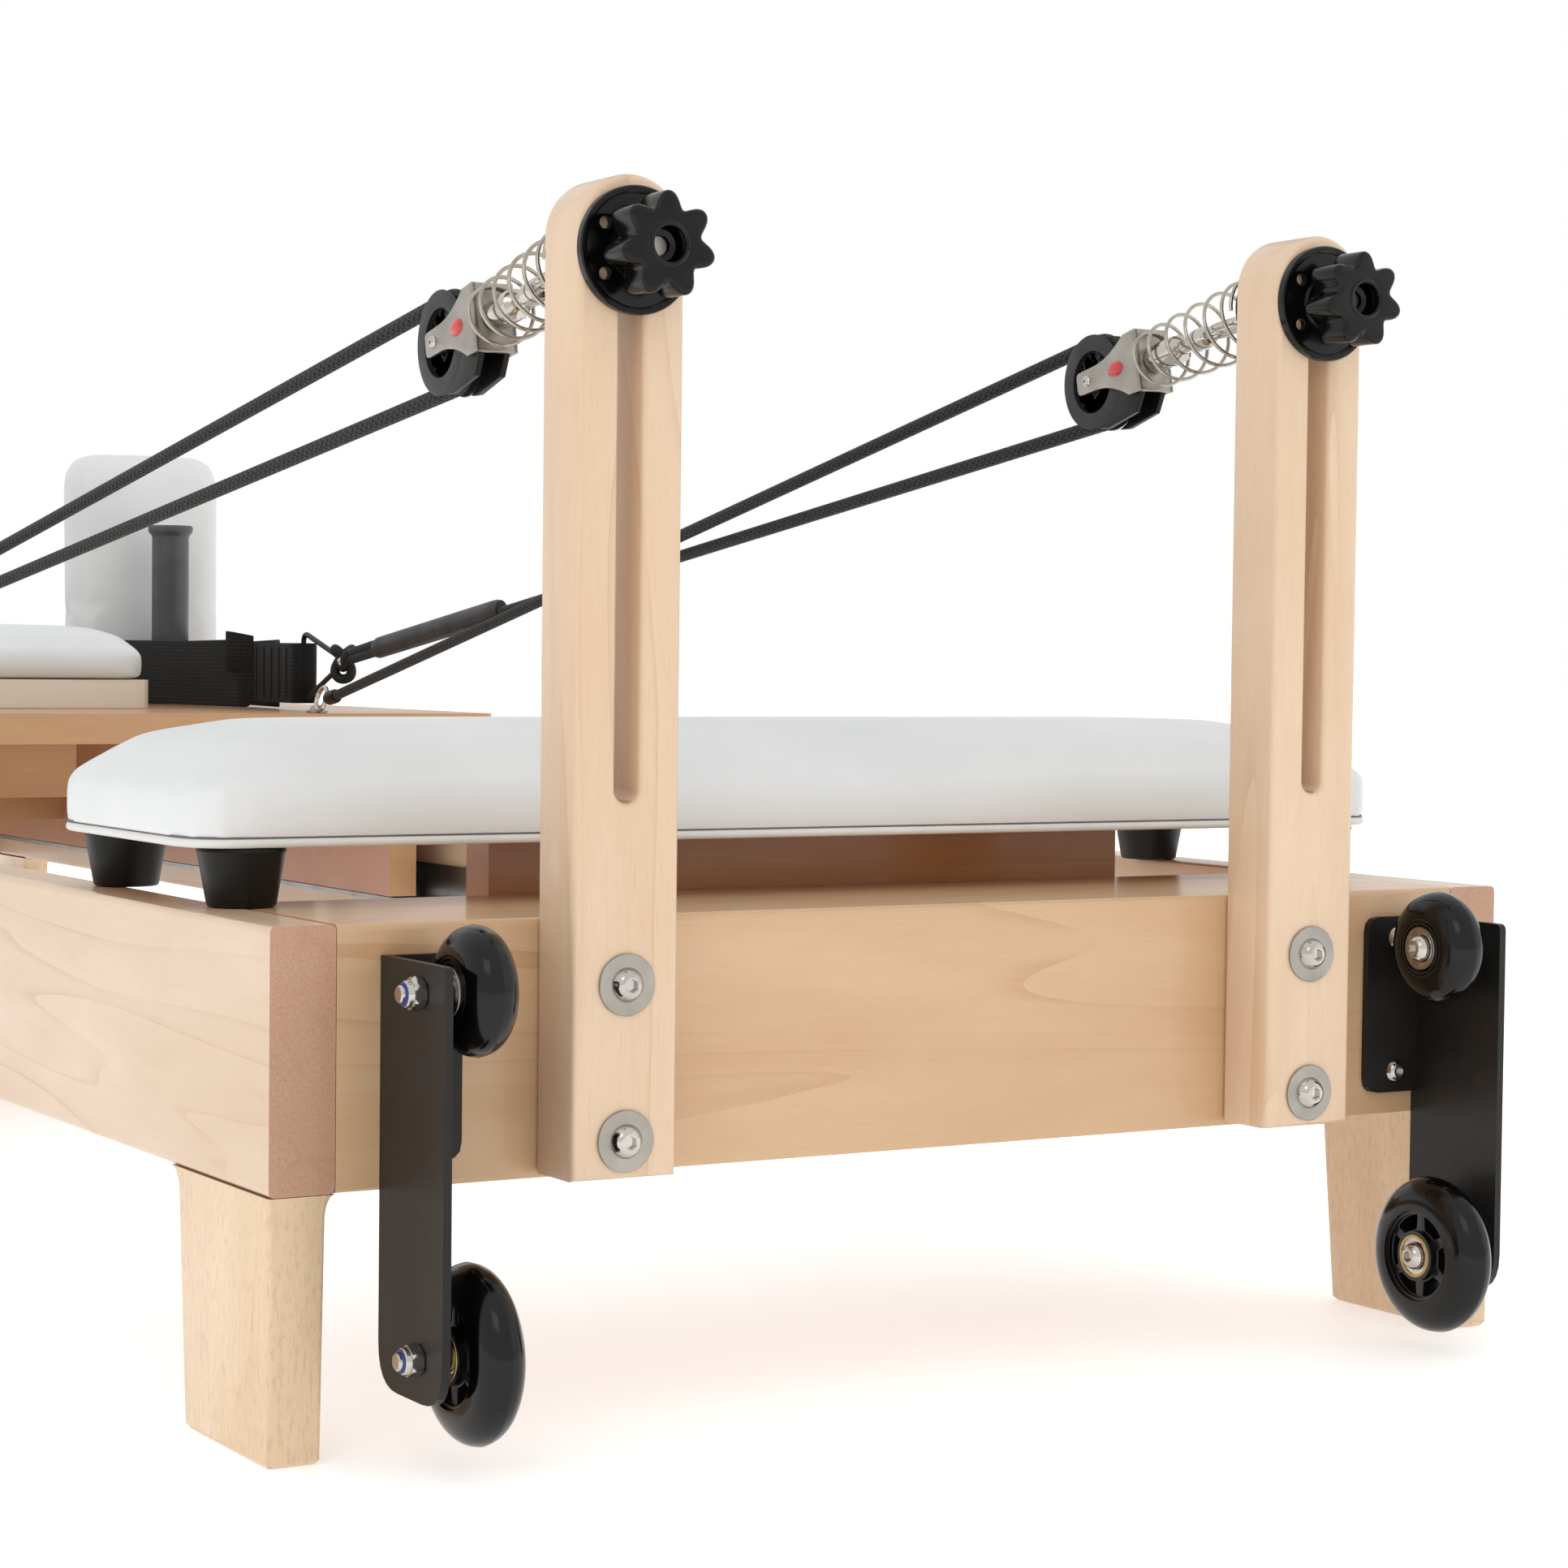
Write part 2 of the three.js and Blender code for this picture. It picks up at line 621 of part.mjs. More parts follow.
// ---------------------------------------------------------------- ropes
// From the ring at the carriage's head edge, over the sheave, and back to the loop.
function rope(side) {
  const radius = sheaveGroove + ropeDiameter / 2 + 2 * gap;
  const axleY = headY + pivotY + blockBack * Math.cos(droop);
  const axleZ = pulleyZ - blockBack * Math.sin(droop);
  const ringSpot = side < 0 ? ringPlace.left : ringPlace.right;
  const ring = new THREE.Vector3(
    side * (postX + ringSpot.outward), carriageY + ringSpot.behind, boardTop + ringSpot.above);
  const knotX = ropePost.spacing / 2 - knotPlace.inward;
  const loopEnd = new THREE.Vector3(side * knotX, strapNose - knotPlace.ahead, boardTop + knotPlace.above);
  // The angle at which a line from a far point touches the sheave's circle.
  const tangent = (point, sign) => {
    const [y, z] = [point.y - axleY, point.z - axleZ];
    return Math.atan2(z, y) + sign * Math.acos(radius / Math.hypot(y, z));
  };
  const from = tangent(ring, 1);
  const to = 2 * Math.PI + tangent(loopEnd, -1);
  const wrapSteps = 12;
  const wrap = [];
  for (let i = 0; i <= wrapSteps; i++) {
    const angle = from + (to - from) * (i / wrapSteps);
    wrap.push(new THREE.Vector3(
      side * postX, axleY + radius * Math.cos(angle), axleZ + radius * Math.sin(angle)));
  }
  const runSteps = 14;
  const run = (far, near) => Array.from({ length: runSteps }, (_, i) => far.clone().lerp(near, i / runSteps));
  const outward = run(ring, wrap[0]);
  const homeward = run(loopEnd, wrap[wrapSteps]).reverse();
  return tube([...outward, ...wrap, ...homeward], ropeDiameter / 2);
}

for (const [name, side] of sides) {
  place(`rope_${name}`, rope(side), blackRope);
}

// ---------------------------------------------------------------- carriage
// Plywood top on two beams, with stubs for the rollers, a spine and a spring crosspiece.
function carriageBoard() {
  const half = halfWidth - carriageMargin;
  const underside = boardTop - boardThickness;
  const top = extruded(
    roundedOutline([[-half, carriageY], [half, carriageY], [half, carriageEnd], [-half, carriageEnd]], 12),
    boardThickness).translate(0, 0, underside);
  const overlap = 1;
  const beamOuter = halfWidth - beamInset;
  const beamSetback = 30;
  const beamStart = carriageY + beamSetback;
  const beamEnd = carriageEnd - beamSetback;
  const pieces = [top];
  for (const [, side] of sides) {
    const [a, b] = [side * beamOuter, side * (beamOuter - beamWidth)];
    pieces.push(boxBetween([Math.min(a, b), beamStart, underside - beamDepth],
      [Math.max(a, b), beamEnd, underside + overlap]));
    for (const y of rollerPlaces()) {
      const tip = rollerCentre() + rollerWidth / 2 + stubEnd;
      const root = beamOuter - overlap;
      pieces.push(alongX(cylinder(rollerStub / 2, tip - root, 14))
        .translate(side * (tip + root) / 2, y, trackTop + gap + rollerDiameter / 2));
    }
  }
  const spineStart = carriageY + spine.start;
  pieces.push(boxBetween([-spine.width / 2, spineStart, underside - spine.height],
    [spine.width / 2, spineStart + spine.length, underside + overlap]));
  const anchorY = carriageY + springAnchor;
  const anchorThickness = 24;
  pieces.push(boxBetween([-beamOuter + overlap, anchorY - anchorThickness, springHeight - anchorThickness],
    [beamOuter - overlap, anchorY, underside + overlap]));
  return joined(...pieces);
}

function rollerPlaces() {
  return [carriageY + rollerInset, carriageEnd - rollerInset];
}

function rollerCentre() {
  return halfWidth - beamInset + rollerSpace + rollerWidth / 2;
}

function roller(side, y) {
  const radius = rollerDiameter / 2;
  const half = rollerWidth / 2;
  const bore = rollerStub / 2 + runningGap;
  const ring = [[bore, half], [radius - 2, half], [radius, half - 2], [radius, 2 - half],
    [radius - 2, -half], [bore, -half]];
  return turnedAboutX(ring, 16).translate(side * rollerCentre(), y, trackTop + gap + radius);
}

function carriagePad() {
  return cushion(pad.width, pad.length, padThickness, { wall: 26, slope: 34, corner: 30 })
    .translate(0, carriageY + pad.start + pad.length / 2, boardTop + gap);
}

function headrestBase() {
  const half = headrest.width / 2;
  const start = carriageY + headrest.start;
  return extruded(
    roundedOutline([[-half, start], [half, start], [half, start + headrest.length],
      [-half, start + headrest.length]], 14), headrest.base - gap).translate(0, 0, boardTop + gap);
}

function headrestPad() {
  return cushion(headrest.width, headrest.length, headrest.thickness, { wall: 22, slope: 34, corner: 30 })
    .translate(0, carriageY + headrest.start + headrest.length / 2, boardTop + headrest.base + gap);
}

// An upright pad, crowned on both faces.
function shoulderRest(side) {
  const edge = 14;
  const layers = [[0, edge], [edge * 0.4, edge * 0.4], [edge, 0]];
  const mirrored = layers.map(([y, inset]) => [shoulder.thickness - y, inset]);
  const points = [...layers, ...mirrored].flatMap(([y, inset]) => {
    const half = shoulder.width / 2 - inset;
    const [low, high] = [inset * 0.3, shoulder.height - inset];
    const outline = roundedOutline([[-half, low], [half, low], [half, high], [-half, high]], [6, 6, 28, 28]);
    return outline.getPoints(4).map((p) => new THREE.Vector3(p.x, y, p.y));
  });
  return new ConvexGeometry(points)
    .translate(side * shoulder.spacing / 2, carriageY + shoulder.start, boardTop + gap);
}

function ropePostSolid(side) {
  const radius = ropePost.diameter / 2;
  const rim = ropePost.flange / 2;
  const neck = ropePost.height - ropePost.flangeHeight;
  const profile = [[0, 0], [radius, 0], [radius, neck - 4], [rim, neck], [rim, ropePost.height - 2],
    [rim - 2, ropePost.height], [0, ropePost.height]].map(([r, z]) => new THREE.Vector2(r, z));
  return alongZ(new THREE.LatheGeometry(profile, 16))
    .translate(side * ropePost.spacing / 2, carriageY + ropePost.start, boardTop + gap);
}

// An open loop of webbing, hung over the rope post, that narrows towards the ring at its nose.
function loopStrap(side) {
  const x = side * ropePost.spacing / 2;
  const band = (grow) => {
    const shape = new THREE.Shape();
    const [big, small] = [strap.loop + grow, strap.nose + grow];
    shape.absarc(0, 0, big, 0, Math.PI);
    shape.absarc(0, -strap.length + strap.nose, small, Math.PI, 2 * Math.PI);
    shape.closePath();
    return shape;
  };
  const outline = band(strap.thickness);
  outline.holes.push(band(0));
  return extruded(outline, strap.height, 12)
    .translate(x, carriageY + ropePost.start, boardTop + gap);
}

place('carriage_board', carriageBoard(), maple);
place('carriage_pad', carriagePad(), whiteVinyl);
place('headrest_base', headrestBase(), maple);
place('headrest_pad', headrestPad(), whiteVinyl);
for (const [name, side] of sides) {
  place(`shoulder_rest_${name}`, shoulderRest(side), whiteVinyl);
  place(`rope_post_${name}`, ropePostSolid(side), anodised);
  place(`loop_strap_${name}`, loopStrap(side), webbing);
  const [headRoller, footRoller] = rollerPlaces();
  place(`roller_head_${name}`, roller(side, headRoller), rubber);
  place(`roller_foot_${name}`, roller(side, footRoller), rubber);
}

// ---------------------------------------------------------------- resistance springs
const springPlaces = Array.from({ length: springCount }, (_, i) => (i - (springCount - 1) / 2) * springPitch);
const springNames = ['left', 'middle', 'right'];
const pegRadius = 5;
const pegLength = 22;

// A crossbar between the side rails with a peg for each spring.
function springBarSolid() {
  const start = headY + springBarStart;
  const half = innerHalf - trackWall - 2 * gap;
  const pieces = [boxBetween([-half, start, springHeight - springBar.height / 2],
    [half, start + springBar.depth, springHeight + springBar.height / 2])];
  for (const x of springPlaces) {
    pieces.push(cylinder(pegRadius, pegLength, 14).translate(x, start - pegLength / 2 + 1, springHeight));
  }
  return joined(...pieces);
}

// The closed coil's outer form, with a collar at each end and a bore over the peg.
function resistanceSpring(x) {
  const start = carriageY + springAnchor + gap;
  const end = headY + springBarStart - gap;
  const radius = springDiameter / 2;
  const collar = 26;
  const boreLength = pegLength + 2;
  const length = end - start;
  const bore = pegRadius + runningGap;
  const profile = [[0, 0], [radius * 0.7, 0], [radius * 0.7, collar], [radius, collar + 6],
    [radius, length - collar - 6], [radius * 0.7, length - collar], [radius * 0.7, length], [bore, length],
    [bore, length - boreLength], [0, length - boreLength]].map(([r, y]) => new THREE.Vector2(r, y));
  return new THREE.LatheGeometry(profile, 12).translate(x, start, springHeight);
}

place('spring_bar', springBarSolid(), blackSteel);
springPlaces.forEach((x, i) => {
  place(`resistance_spring_${springNames[i]}`, resistanceSpring(x), stainless);
});

// ---------------------------------------------------------------- footbar
const armX = halfWidth + footbarTube / 2 + 1.5;

function leaned(geometry) {
  return geometry.rotateX(THREE.MathUtils.degToRad(-footbarLean))
    .translate(0, headY + footbarPivot.along, footbarPivot.height);
}

// A steel tube bent into a U, with a pivot stub at the foot of each arm.
function footbar() {
  const points = [];
  const cornerSteps = 6;
  const bend = (side, forwards) => {
    const turn = [];
    for (let i = 0; i <= cornerSteps; i++) {
      const angle = (i / cornerSteps) * (Math.PI / 2);
      turn.push(new THREE.Vector3(
        side * (armX - footbarCorner + footbarCorner * Math.cos(angle)), 0,
        footbarArm - footbarCorner + footbarCorner * Math.sin(angle)));
    }
    return forwards ? turn : turn.reverse();
  };
  const armSteps = 4;
  const arm = (side) => Array.from({ length: armSteps }, (_, i) => new THREE.Vector3(
    side * armX, 0, -footbarTube / 2 + (i / armSteps) * (footbarArm - footbarCorner)));
  points.push(...arm(-1), ...bend(-1, true));
  const crossSteps = 4;
  for (let i = 1; i < crossSteps; i++) {
    points.push(new THREE.Vector3((armX - footbarCorner) * (2 * i / crossSteps - 1), 0, footbarArm));
  }
  points.push(...bend(1, false), ...arm(1).reverse());
  const stubLength = 34;
  const stubs = sides.map(([, side]) => alongX(cylinder(studDiameter / 2, stubLength, 14))
    .translate(side * (armX - stubLength / 2), 0, 0));
  return leaned(joined(tube(points, footbarTube / 2, 12), ...stubs));
}

function footbarGrip() {
  const [inner, outer, half] = [footbarTube / 2 + runningGap, grip.diameter / 2, grip.length / 2];
  const ring = [[inner, half], [outer - 4, half], [outer, half - 4], [outer, 4 - half], [outer - 4, -half],
    [inner, -half]];
  return leaned(turnedAboutX(ring, 20).translate(0, 0, footbarArm));
}

place('footbar', footbar(), blackSteel);
place('footbar_grip', footbarGrip(), foam);

// ---------------------------------------------------------------- standing platform
const platformY = headY + platformSetback + platformDepth / 2;
const platformUnder = railTop + footHeight;
const platformLength = frameWidth; // flush with the frame's sides

// Board with a locating block that drops behind the deck's inner edge.
function platformBoardSolid() {
  const inset = 5;
  const [w, d] = [platformLength / 2 - inset, platformDepth / 2 - inset];
  const low = platformUnder + gap;
  const board = extruded(roundedOutline([[-w, -d], [w, -d], [w, d], [-w, d]], 26), platformBoard)
    .translate(0, platformY, low);
  const blockFront = headY + deckDepth + blockUnder.clearance;
  const half = blockUnder.length / 2;
  const overlap = 1;
  const block = boxBetween([blockUnder.aside - half, blockFront, railTop - blockUnder.drop],
    [blockUnder.aside + half, blockFront + blockUnder.depth, low + overlap]);
  return joined(board, block);
}

function platformPad() {
  return cushion(platformLength, platformDepth, platformThickness, { wall: 22, slope: 62, corner: 30 })
    .translate(0, platformY, platformUnder + platformBoard + 2 * gap);
}

function platformFoot(side, end) {
  const height = footHeight - 2 * gap;
  return alongZ(new THREE.CylinderGeometry(footTop, footBottom, height, 20))
    .translate(side * (halfWidth - footInset.across),
      platformY + end * (platformDepth / 2 - footInset.along), railTop + gap + height / 2);
}

place('platform_board', platformBoardSolid(), maple);
place('platform_pad', platformPad(), whiteVinyl);
for (const [name, side] of sides) {
  place(`platform_foot_head_${name}`, platformFoot(side, -1), blackPlastic);
  place(`platform_foot_foot_${name}`, platformFoot(side, 1), blackPlastic);
}

export default reformer;
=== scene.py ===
import json
import math

import bmesh
import bpy
import numpy as np
from mathutils import Matrix, Vector


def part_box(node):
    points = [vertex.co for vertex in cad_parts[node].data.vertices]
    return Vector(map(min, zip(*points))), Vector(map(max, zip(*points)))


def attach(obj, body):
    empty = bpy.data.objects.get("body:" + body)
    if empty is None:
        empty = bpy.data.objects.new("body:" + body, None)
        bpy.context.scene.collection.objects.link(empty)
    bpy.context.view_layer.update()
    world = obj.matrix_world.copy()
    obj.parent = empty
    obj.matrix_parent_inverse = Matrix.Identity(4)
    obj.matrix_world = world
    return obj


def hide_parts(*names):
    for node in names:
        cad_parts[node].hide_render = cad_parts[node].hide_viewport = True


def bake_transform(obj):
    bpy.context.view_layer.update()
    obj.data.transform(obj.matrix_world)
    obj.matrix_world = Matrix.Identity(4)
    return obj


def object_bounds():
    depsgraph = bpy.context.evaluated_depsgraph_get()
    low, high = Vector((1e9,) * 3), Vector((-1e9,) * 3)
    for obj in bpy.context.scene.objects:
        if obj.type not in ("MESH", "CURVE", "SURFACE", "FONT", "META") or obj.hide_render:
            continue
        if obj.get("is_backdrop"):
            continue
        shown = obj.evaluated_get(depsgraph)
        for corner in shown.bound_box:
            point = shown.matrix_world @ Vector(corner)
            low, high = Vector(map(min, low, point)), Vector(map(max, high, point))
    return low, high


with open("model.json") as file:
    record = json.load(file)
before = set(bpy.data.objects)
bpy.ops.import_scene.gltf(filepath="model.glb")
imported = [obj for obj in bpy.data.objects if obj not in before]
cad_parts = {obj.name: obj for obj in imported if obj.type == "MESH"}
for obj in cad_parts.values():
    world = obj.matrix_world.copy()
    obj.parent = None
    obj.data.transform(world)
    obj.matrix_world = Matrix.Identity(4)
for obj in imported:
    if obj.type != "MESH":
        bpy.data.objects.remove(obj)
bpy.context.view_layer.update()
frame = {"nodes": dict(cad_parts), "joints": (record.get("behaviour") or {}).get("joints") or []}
nodes = frame["nodes"]
scene = bpy.context.scene
sides = (("left", -1), ("right", 1))
print("frame loaded:", len(nodes), "nodes")


# Places, from the frame
def middle(node):
    low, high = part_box(node)
    return (low + high) / 2


railLow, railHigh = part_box("side_rail_left")
headY, footY = railLow.y, railHigh.y
railTop = railHigh.z
halfWidth = -railLow.x
boardLow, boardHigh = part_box("carriage_board")
boardTop = boardHigh.z
carriageY = boardLow.y


# Mesh helpers
def makePiece(name, vertices, faces, material, body=None, stands=(), sharp=32, weld=True):
    mesh = bpy.data.meshes.new(name)
    mesh.from_pydata(np.asarray(vertices, float).tolist(), [], [list(map(int, f)) for f in faces])
    build = bmesh.new()
    build.from_mesh(mesh)
    if weld:
        bmesh.ops.remove_doubles(build, verts=build.verts, dist=2e-6)
        bmesh.ops.recalc_face_normals(build, faces=build.faces)
    build.to_mesh(mesh)
    build.free()
    mesh.shade_smooth()
    mesh.set_sharp_from_angle(angle=math.radians(sharp))
    mesh.materials.append(material)
    piece = bpy.data.objects.new(name, mesh)
    scene.collection.objects.link(piece)
    if body:
        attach(piece, body)
    if stands:
        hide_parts(*stands)
    return piece


def gridFaces(rows, columns, loopRows=False, loopColumns=True, start=0):
    # each cell of a grid of points is one face; a looped direction joins its last line to its first
    r = np.arange(rows if loopRows else rows - 1)[:, None]
    c = np.arange(columns if loopColumns else columns - 1)[None, :]
    r2, c2 = (r + 1) % rows, (c + 1) % columns
    cells = np.stack([r * columns + c, r2 * columns + c, r2 * columns + c2, r * columns + c2], -1)
    return (cells.reshape(-1, 4) + start).tolist()


def axes(origin, x, y, z):
    # a place given by its origin and the directions of its three axes
    return Matrix.Translation(Vector(origin)) @ Matrix((x, y, z)).transposed().to_4x4()


def facing(origin, direction, up=(0, 0, 1)):
    # a place whose Z points along direction and whose Y leans towards up
    z = Vector(direction).normalized()
    y = Vector(up)
    y = (y - z * y.dot(z))
    y = y.normalized() if y.length > 1e-6 else z.orthogonal().normalized()
    return axes(origin, y.cross(z), y, z)


def moved(points, place):
    m = np.array(place)
    return np.asarray(points) @ m[:3, :3].T + m[:3, 3]


def turnedShape(profile, place, segments=64):
    # a profile of (radius, height) pairs turned about the place's Z; a profile off the axis closes on itself
    profile = np.asarray(profile, float)
    angle = np.linspace(0, 2 * np.pi, segments, endpoint=False)
    radius, height = profile[:, 0][:, None], profile[:, 1][:, None]
    grid = np.stack([radius * np.cos(angle), radius * np.sin(angle), height + 0 * angle], -1)
    onAxis = profile[0, 0] < 1e-9 and profile[-1, 0] < 1e-9
    faces = gridFaces(len(profile), segments, not onAxis, True)
    return moved(grid.reshape(-1, 3), place), faces


def squareRing(inner, outer, low, high):
    # the profile of a plain ring, or of a pin when its inner radius is 0
    return [(inner, low), (outer, low), (outer, high), (inner, high)]


def turned(name, profile, place, material, body=None, stands=(), segments=64, sharp=32):
    vertices, faces = turnedShape(profile, place, segments)
    return makePiece(name, vertices, faces, material, body, stands, sharp)


def rounded(points, radius, steps=5):
    # replaces each corner of a closed outline by an arc-like curve: its start, the corner and its end are
    # blended by (1 - t)^2, 2t(1 - t) and t^2
    points = np.asarray(points, float)
    radii = np.broadcast_to(np.asarray(radius, float), (len(points),))
    t = np.linspace(0, 1, steps + 1)[:, None]
    out = []
    for i, corner in enumerate(points):
        before, after = points[i - 1] - corner, points[(i + 1) % len(points)] - corner
        if radii[i] <= 0:
            out.append(corner[None])
            continue
        a = corner + before / np.linalg.norm(before) * radii[i]
        b = corner + after / np.linalg.norm(after) * radii[i]
        out.append((1 - t) ** 2 * a + 2 * t * (1 - t) * corner + t ** 2 * b)
    return np.concatenate(out)


def circle(radius, centre=(0, 0), count=40, start=0.0, end=2 * math.pi):
    angle = np.linspace(start, end, count, endpoint=abs(end - start) < 6.28)
    return np.stack([centre[0] + radius * np.cos(angle), centre[1] + radius * np.sin(angle)], -1)


def plateShape(outline, holes, thickness, bevel, place, rounds=2):
    # a flat plate with eased edges, from its low face at Z = 0 to its top at Z = thickness
    curve = bpy.data.curves.new("outline", "CURVE")
    curve.dimensions = "2D"
    curve.fill_mode = "BOTH"
    curve.extrude = thickness / 2 - bevel
    curve.bevel_depth = bevel
    curve.bevel_resolution = rounds
    curve.offset = -bevel
    def signedArea(p):
        return 0.5 * np.sum(p[:, 0] * np.roll(p[:, 1], -1) - np.roll(p[:, 0], -1) * p[:, 1])
    for i, line in enumerate([outline, *holes]):
        line = np.asarray(line, float)
        if (signedArea(line) > 0) == (i > 0):
            line = line[::-1]
        spline = curve.splines.new("POLY")
        spline.points.add(len(line) - 1)
        packed = np.concatenate([line, np.zeros((len(line), 1)), np.ones((len(line), 1))], 1)
        spline.points.foreach_set("co", packed.ravel())
        spline.use_cyclic_u = True
    holder = bpy.data.objects.new("outline", curve)
    scene.collection.objects.link(holder)
    mesh = bpy.data.meshes.new_from_object(holder.evaluated_get(bpy.context.evaluated_depsgraph_get()))
    vertices = np.zeros(len(mesh.vertices) * 3)
    mesh.vertices.foreach_get("co", vertices)
    vertices = vertices.reshape(-1, 3) + (0, 0, thickness / 2)
    faces = [list(p.vertices) for p in mesh.polygons]
    bpy.data.objects.remove(holder)
    bpy.data.curves.remove(curve)
    bpy.data.meshes.remove(mesh)
    return moved(vertices, place), faces


def plate(name, outline, holes, thickness, bevel, place, material, body=None, stands=(), rounds=2, sharp=40):
    vertices, faces = plateShape(outline, holes, thickness, bevel, place, rounds)
    return makePiece(name, vertices, faces, material, body, stands, sharp)


def pathFrames(points, loop=False):
    # tangents along a line of points, and a side vector carried from each to the next with the least turn
    points = np.asarray(points, float)
    ahead, behind = np.roll(points, -1, 0), np.roll(points, 1, 0)
    if not loop:
        ahead[-1], behind[0] = points[-1], points[0]
    tangent = ahead - behind
    tangent /= np.linalg.norm(tangent, axis=1)[:, None]
    seed = np.array([0.0, 0.0, 1.0]) if abs(tangent[0, 2]) < 0.9 else np.array([1.0, 0.0, 0.0])
    side = np.zeros_like(tangent)
    for i, t in enumerate(tangent):
        seed = seed - t * seed.dot(t)
        seed = seed / np.linalg.norm(seed)
        side[i] = seed
    return tangent, side, np.cross(tangent, side)


def sweepShape(points, radius, sides=16, loop=False, flat=1.0):
    # a round section of that radius carried along the points; flat scales it across the side vector
    points = np.asarray(points, float)
    tangent, side, other = pathFrames(points, loop)
    angle = np.linspace(0, 2 * np.pi, sides, endpoint=False)
    radius = np.broadcast_to(np.asarray(radius, float), (len(points),))[:, None, None]
    ring = side[:, None] * np.cos(angle)[None, :, None] * flat + other[:, None] * np.sin(angle)[None, :, None]
    grid = points[:, None] + ring * radius
    faces = gridFaces(len(points), sides, loop, True)
    vertices = grid.reshape(-1, 3)
    if not loop:
        last = (len(points) - 1) * sides
        faces += [list(range(sides)), list(range(last, last + sides))[::-1]]
    return vertices, faces


def sweep(name, points, radius, material, body=None, stands=(), sides=16, loop=False, flat=1.0, sharp=50):
    vertices, faces = sweepShape(points, radius, sides, loop, flat)
    return makePiece(name, vertices, faces, material, body, stands, sharp)


def gathered(name, shapes, material, body=None, stands=(), sharp=32):
    # several closed shapes as one piece
    vertices, faces, start = [], [], 0
    for v, f in shapes:
        vertices.append(v)
        faces += [[i + start for i in face] for face in f]
        start += len(v)
    return makePiece(name, np.concatenate(vertices), faces, material, body, stands, sharp)


# Material helpers
def linear(code):
    # sRGB to linear: a low value is divided by 12.92, and the rest follows the 2.4 power curve
    value = np.array([int(code[i:i + 2], 16) for i in (1, 3, 5)]) / 255
    value = np.where(value <= 0.04045, value / 12.92, ((value + 0.055) / 1.055) ** 2.4)
    return (*value.tolist(), 1.0)


def addNode(tree, kind, inputs=None, **settings):
    node = tree.nodes.new("ShaderNode" + kind)
    for key, value in settings.items():
        setattr(node, key, value)
    for key, value in (inputs or {}).items():
        if isinstance(value, bpy.types.NodeSocket):
            tree.links.new(value, node.inputs[key])
        else:
            node.inputs[key].default_value = value
    return node


def newMaterial(name, **constants):
    material = bpy.data.materials.new(name)
    material.use_nodes = True
    tree = material.node_tree
    tree.nodes.clear()
    shader = addNode(tree, "BsdfPrincipled", constants)
    out = addNode(tree, "OutputMaterial")
    tree.links.new(shader.outputs["BSDF"], out.inputs["Surface"])
    return material, tree, shader


def objectPlace(tree, scale=(1, 1, 1)):
    place = addNode(tree, "TexCoord").outputs["Object"]
    return addNode(tree, "Mapping", {"Vector": place, "Scale": scale}).outputs["Vector"]


def noise(tree, place, scale, detail=3.0, rough=0.5, distortion=0.0):
    return addNode(tree, "TexNoise", {"Vector": place, "Scale": scale, "Detail": detail,
        "Roughness": rough, "Distortion": distortion}).outputs["Fac"]


def math2(tree, operation, a, b=0.0):
    return addNode(tree, "Math", {0: a, 1: b}, operation=operation).outputs[0]


def spread(tree, value, low, high, toLow=0.0, toHigh=1.0):
    return addNode(tree, "MapRange", {"Value": value, "From Min": low, "From Max": high,
        "To Min": toLow, "To Max": toHigh}).outputs["Result"]


def mix(tree, factor, a, b):
    node = addNode(tree, "Mix", {0: factor}, data_type="RGBA")
    for index, value in ((6, a), (7, b)):
        if isinstance(value, bpy.types.NodeSocket):
            tree.links.new(value, node.inputs[index])
        else:
            node.inputs[index].default_value = value
    return node.outputs[2]


def bump(tree, shader, height, distance, strength=1.0):
    node = addNode(tree, "Bump", {"Height": height, "Distance": distance, "Strength": strength})
    tree.links.new(node.outputs["Normal"], shader.inputs["Normal"])


def surface(name, colour, roughness, metallic=0.0, second=None, patch=40.0, grain=900.0, depth=0.00003,
            wear=0.08, **constants):
    # a plain finish with soft colour patches, uneven gloss and a fine surface grain
    material, tree, shader = newMaterial(name, Metallic=metallic, **constants)
    place = objectPlace(tree)
    patches = noise(tree, place, patch, 3.0)
    fine = noise(tree, place, grain, 2.0)
    shade = mix(tree, spread(tree, patches, 0.35, 0.7), linear(colour), linear(second or colour))
    tree.links.new(shade, shader.inputs["Base Color"])
    tree.links.new(spread(tree, patches, 0.3, 0.7, roughness - wear / 2, roughness + wear / 2),
        shader.inputs["Roughness"])
    bump(tree, shader, fine, depth)
    return material


# Lacquered hard maple. Growth lines are the contours of a slow noise drawn out along the grain.
woodLook = {"light": "#e6c7a2", "mid": "#dcb68d", "line": "#b98c62", "end": "#b38064", "lineStrength": 0.42,
    "poreStrength": 0.2, "gloss": 0.34, "coat": 0.35, "coatGloss": 0.12}


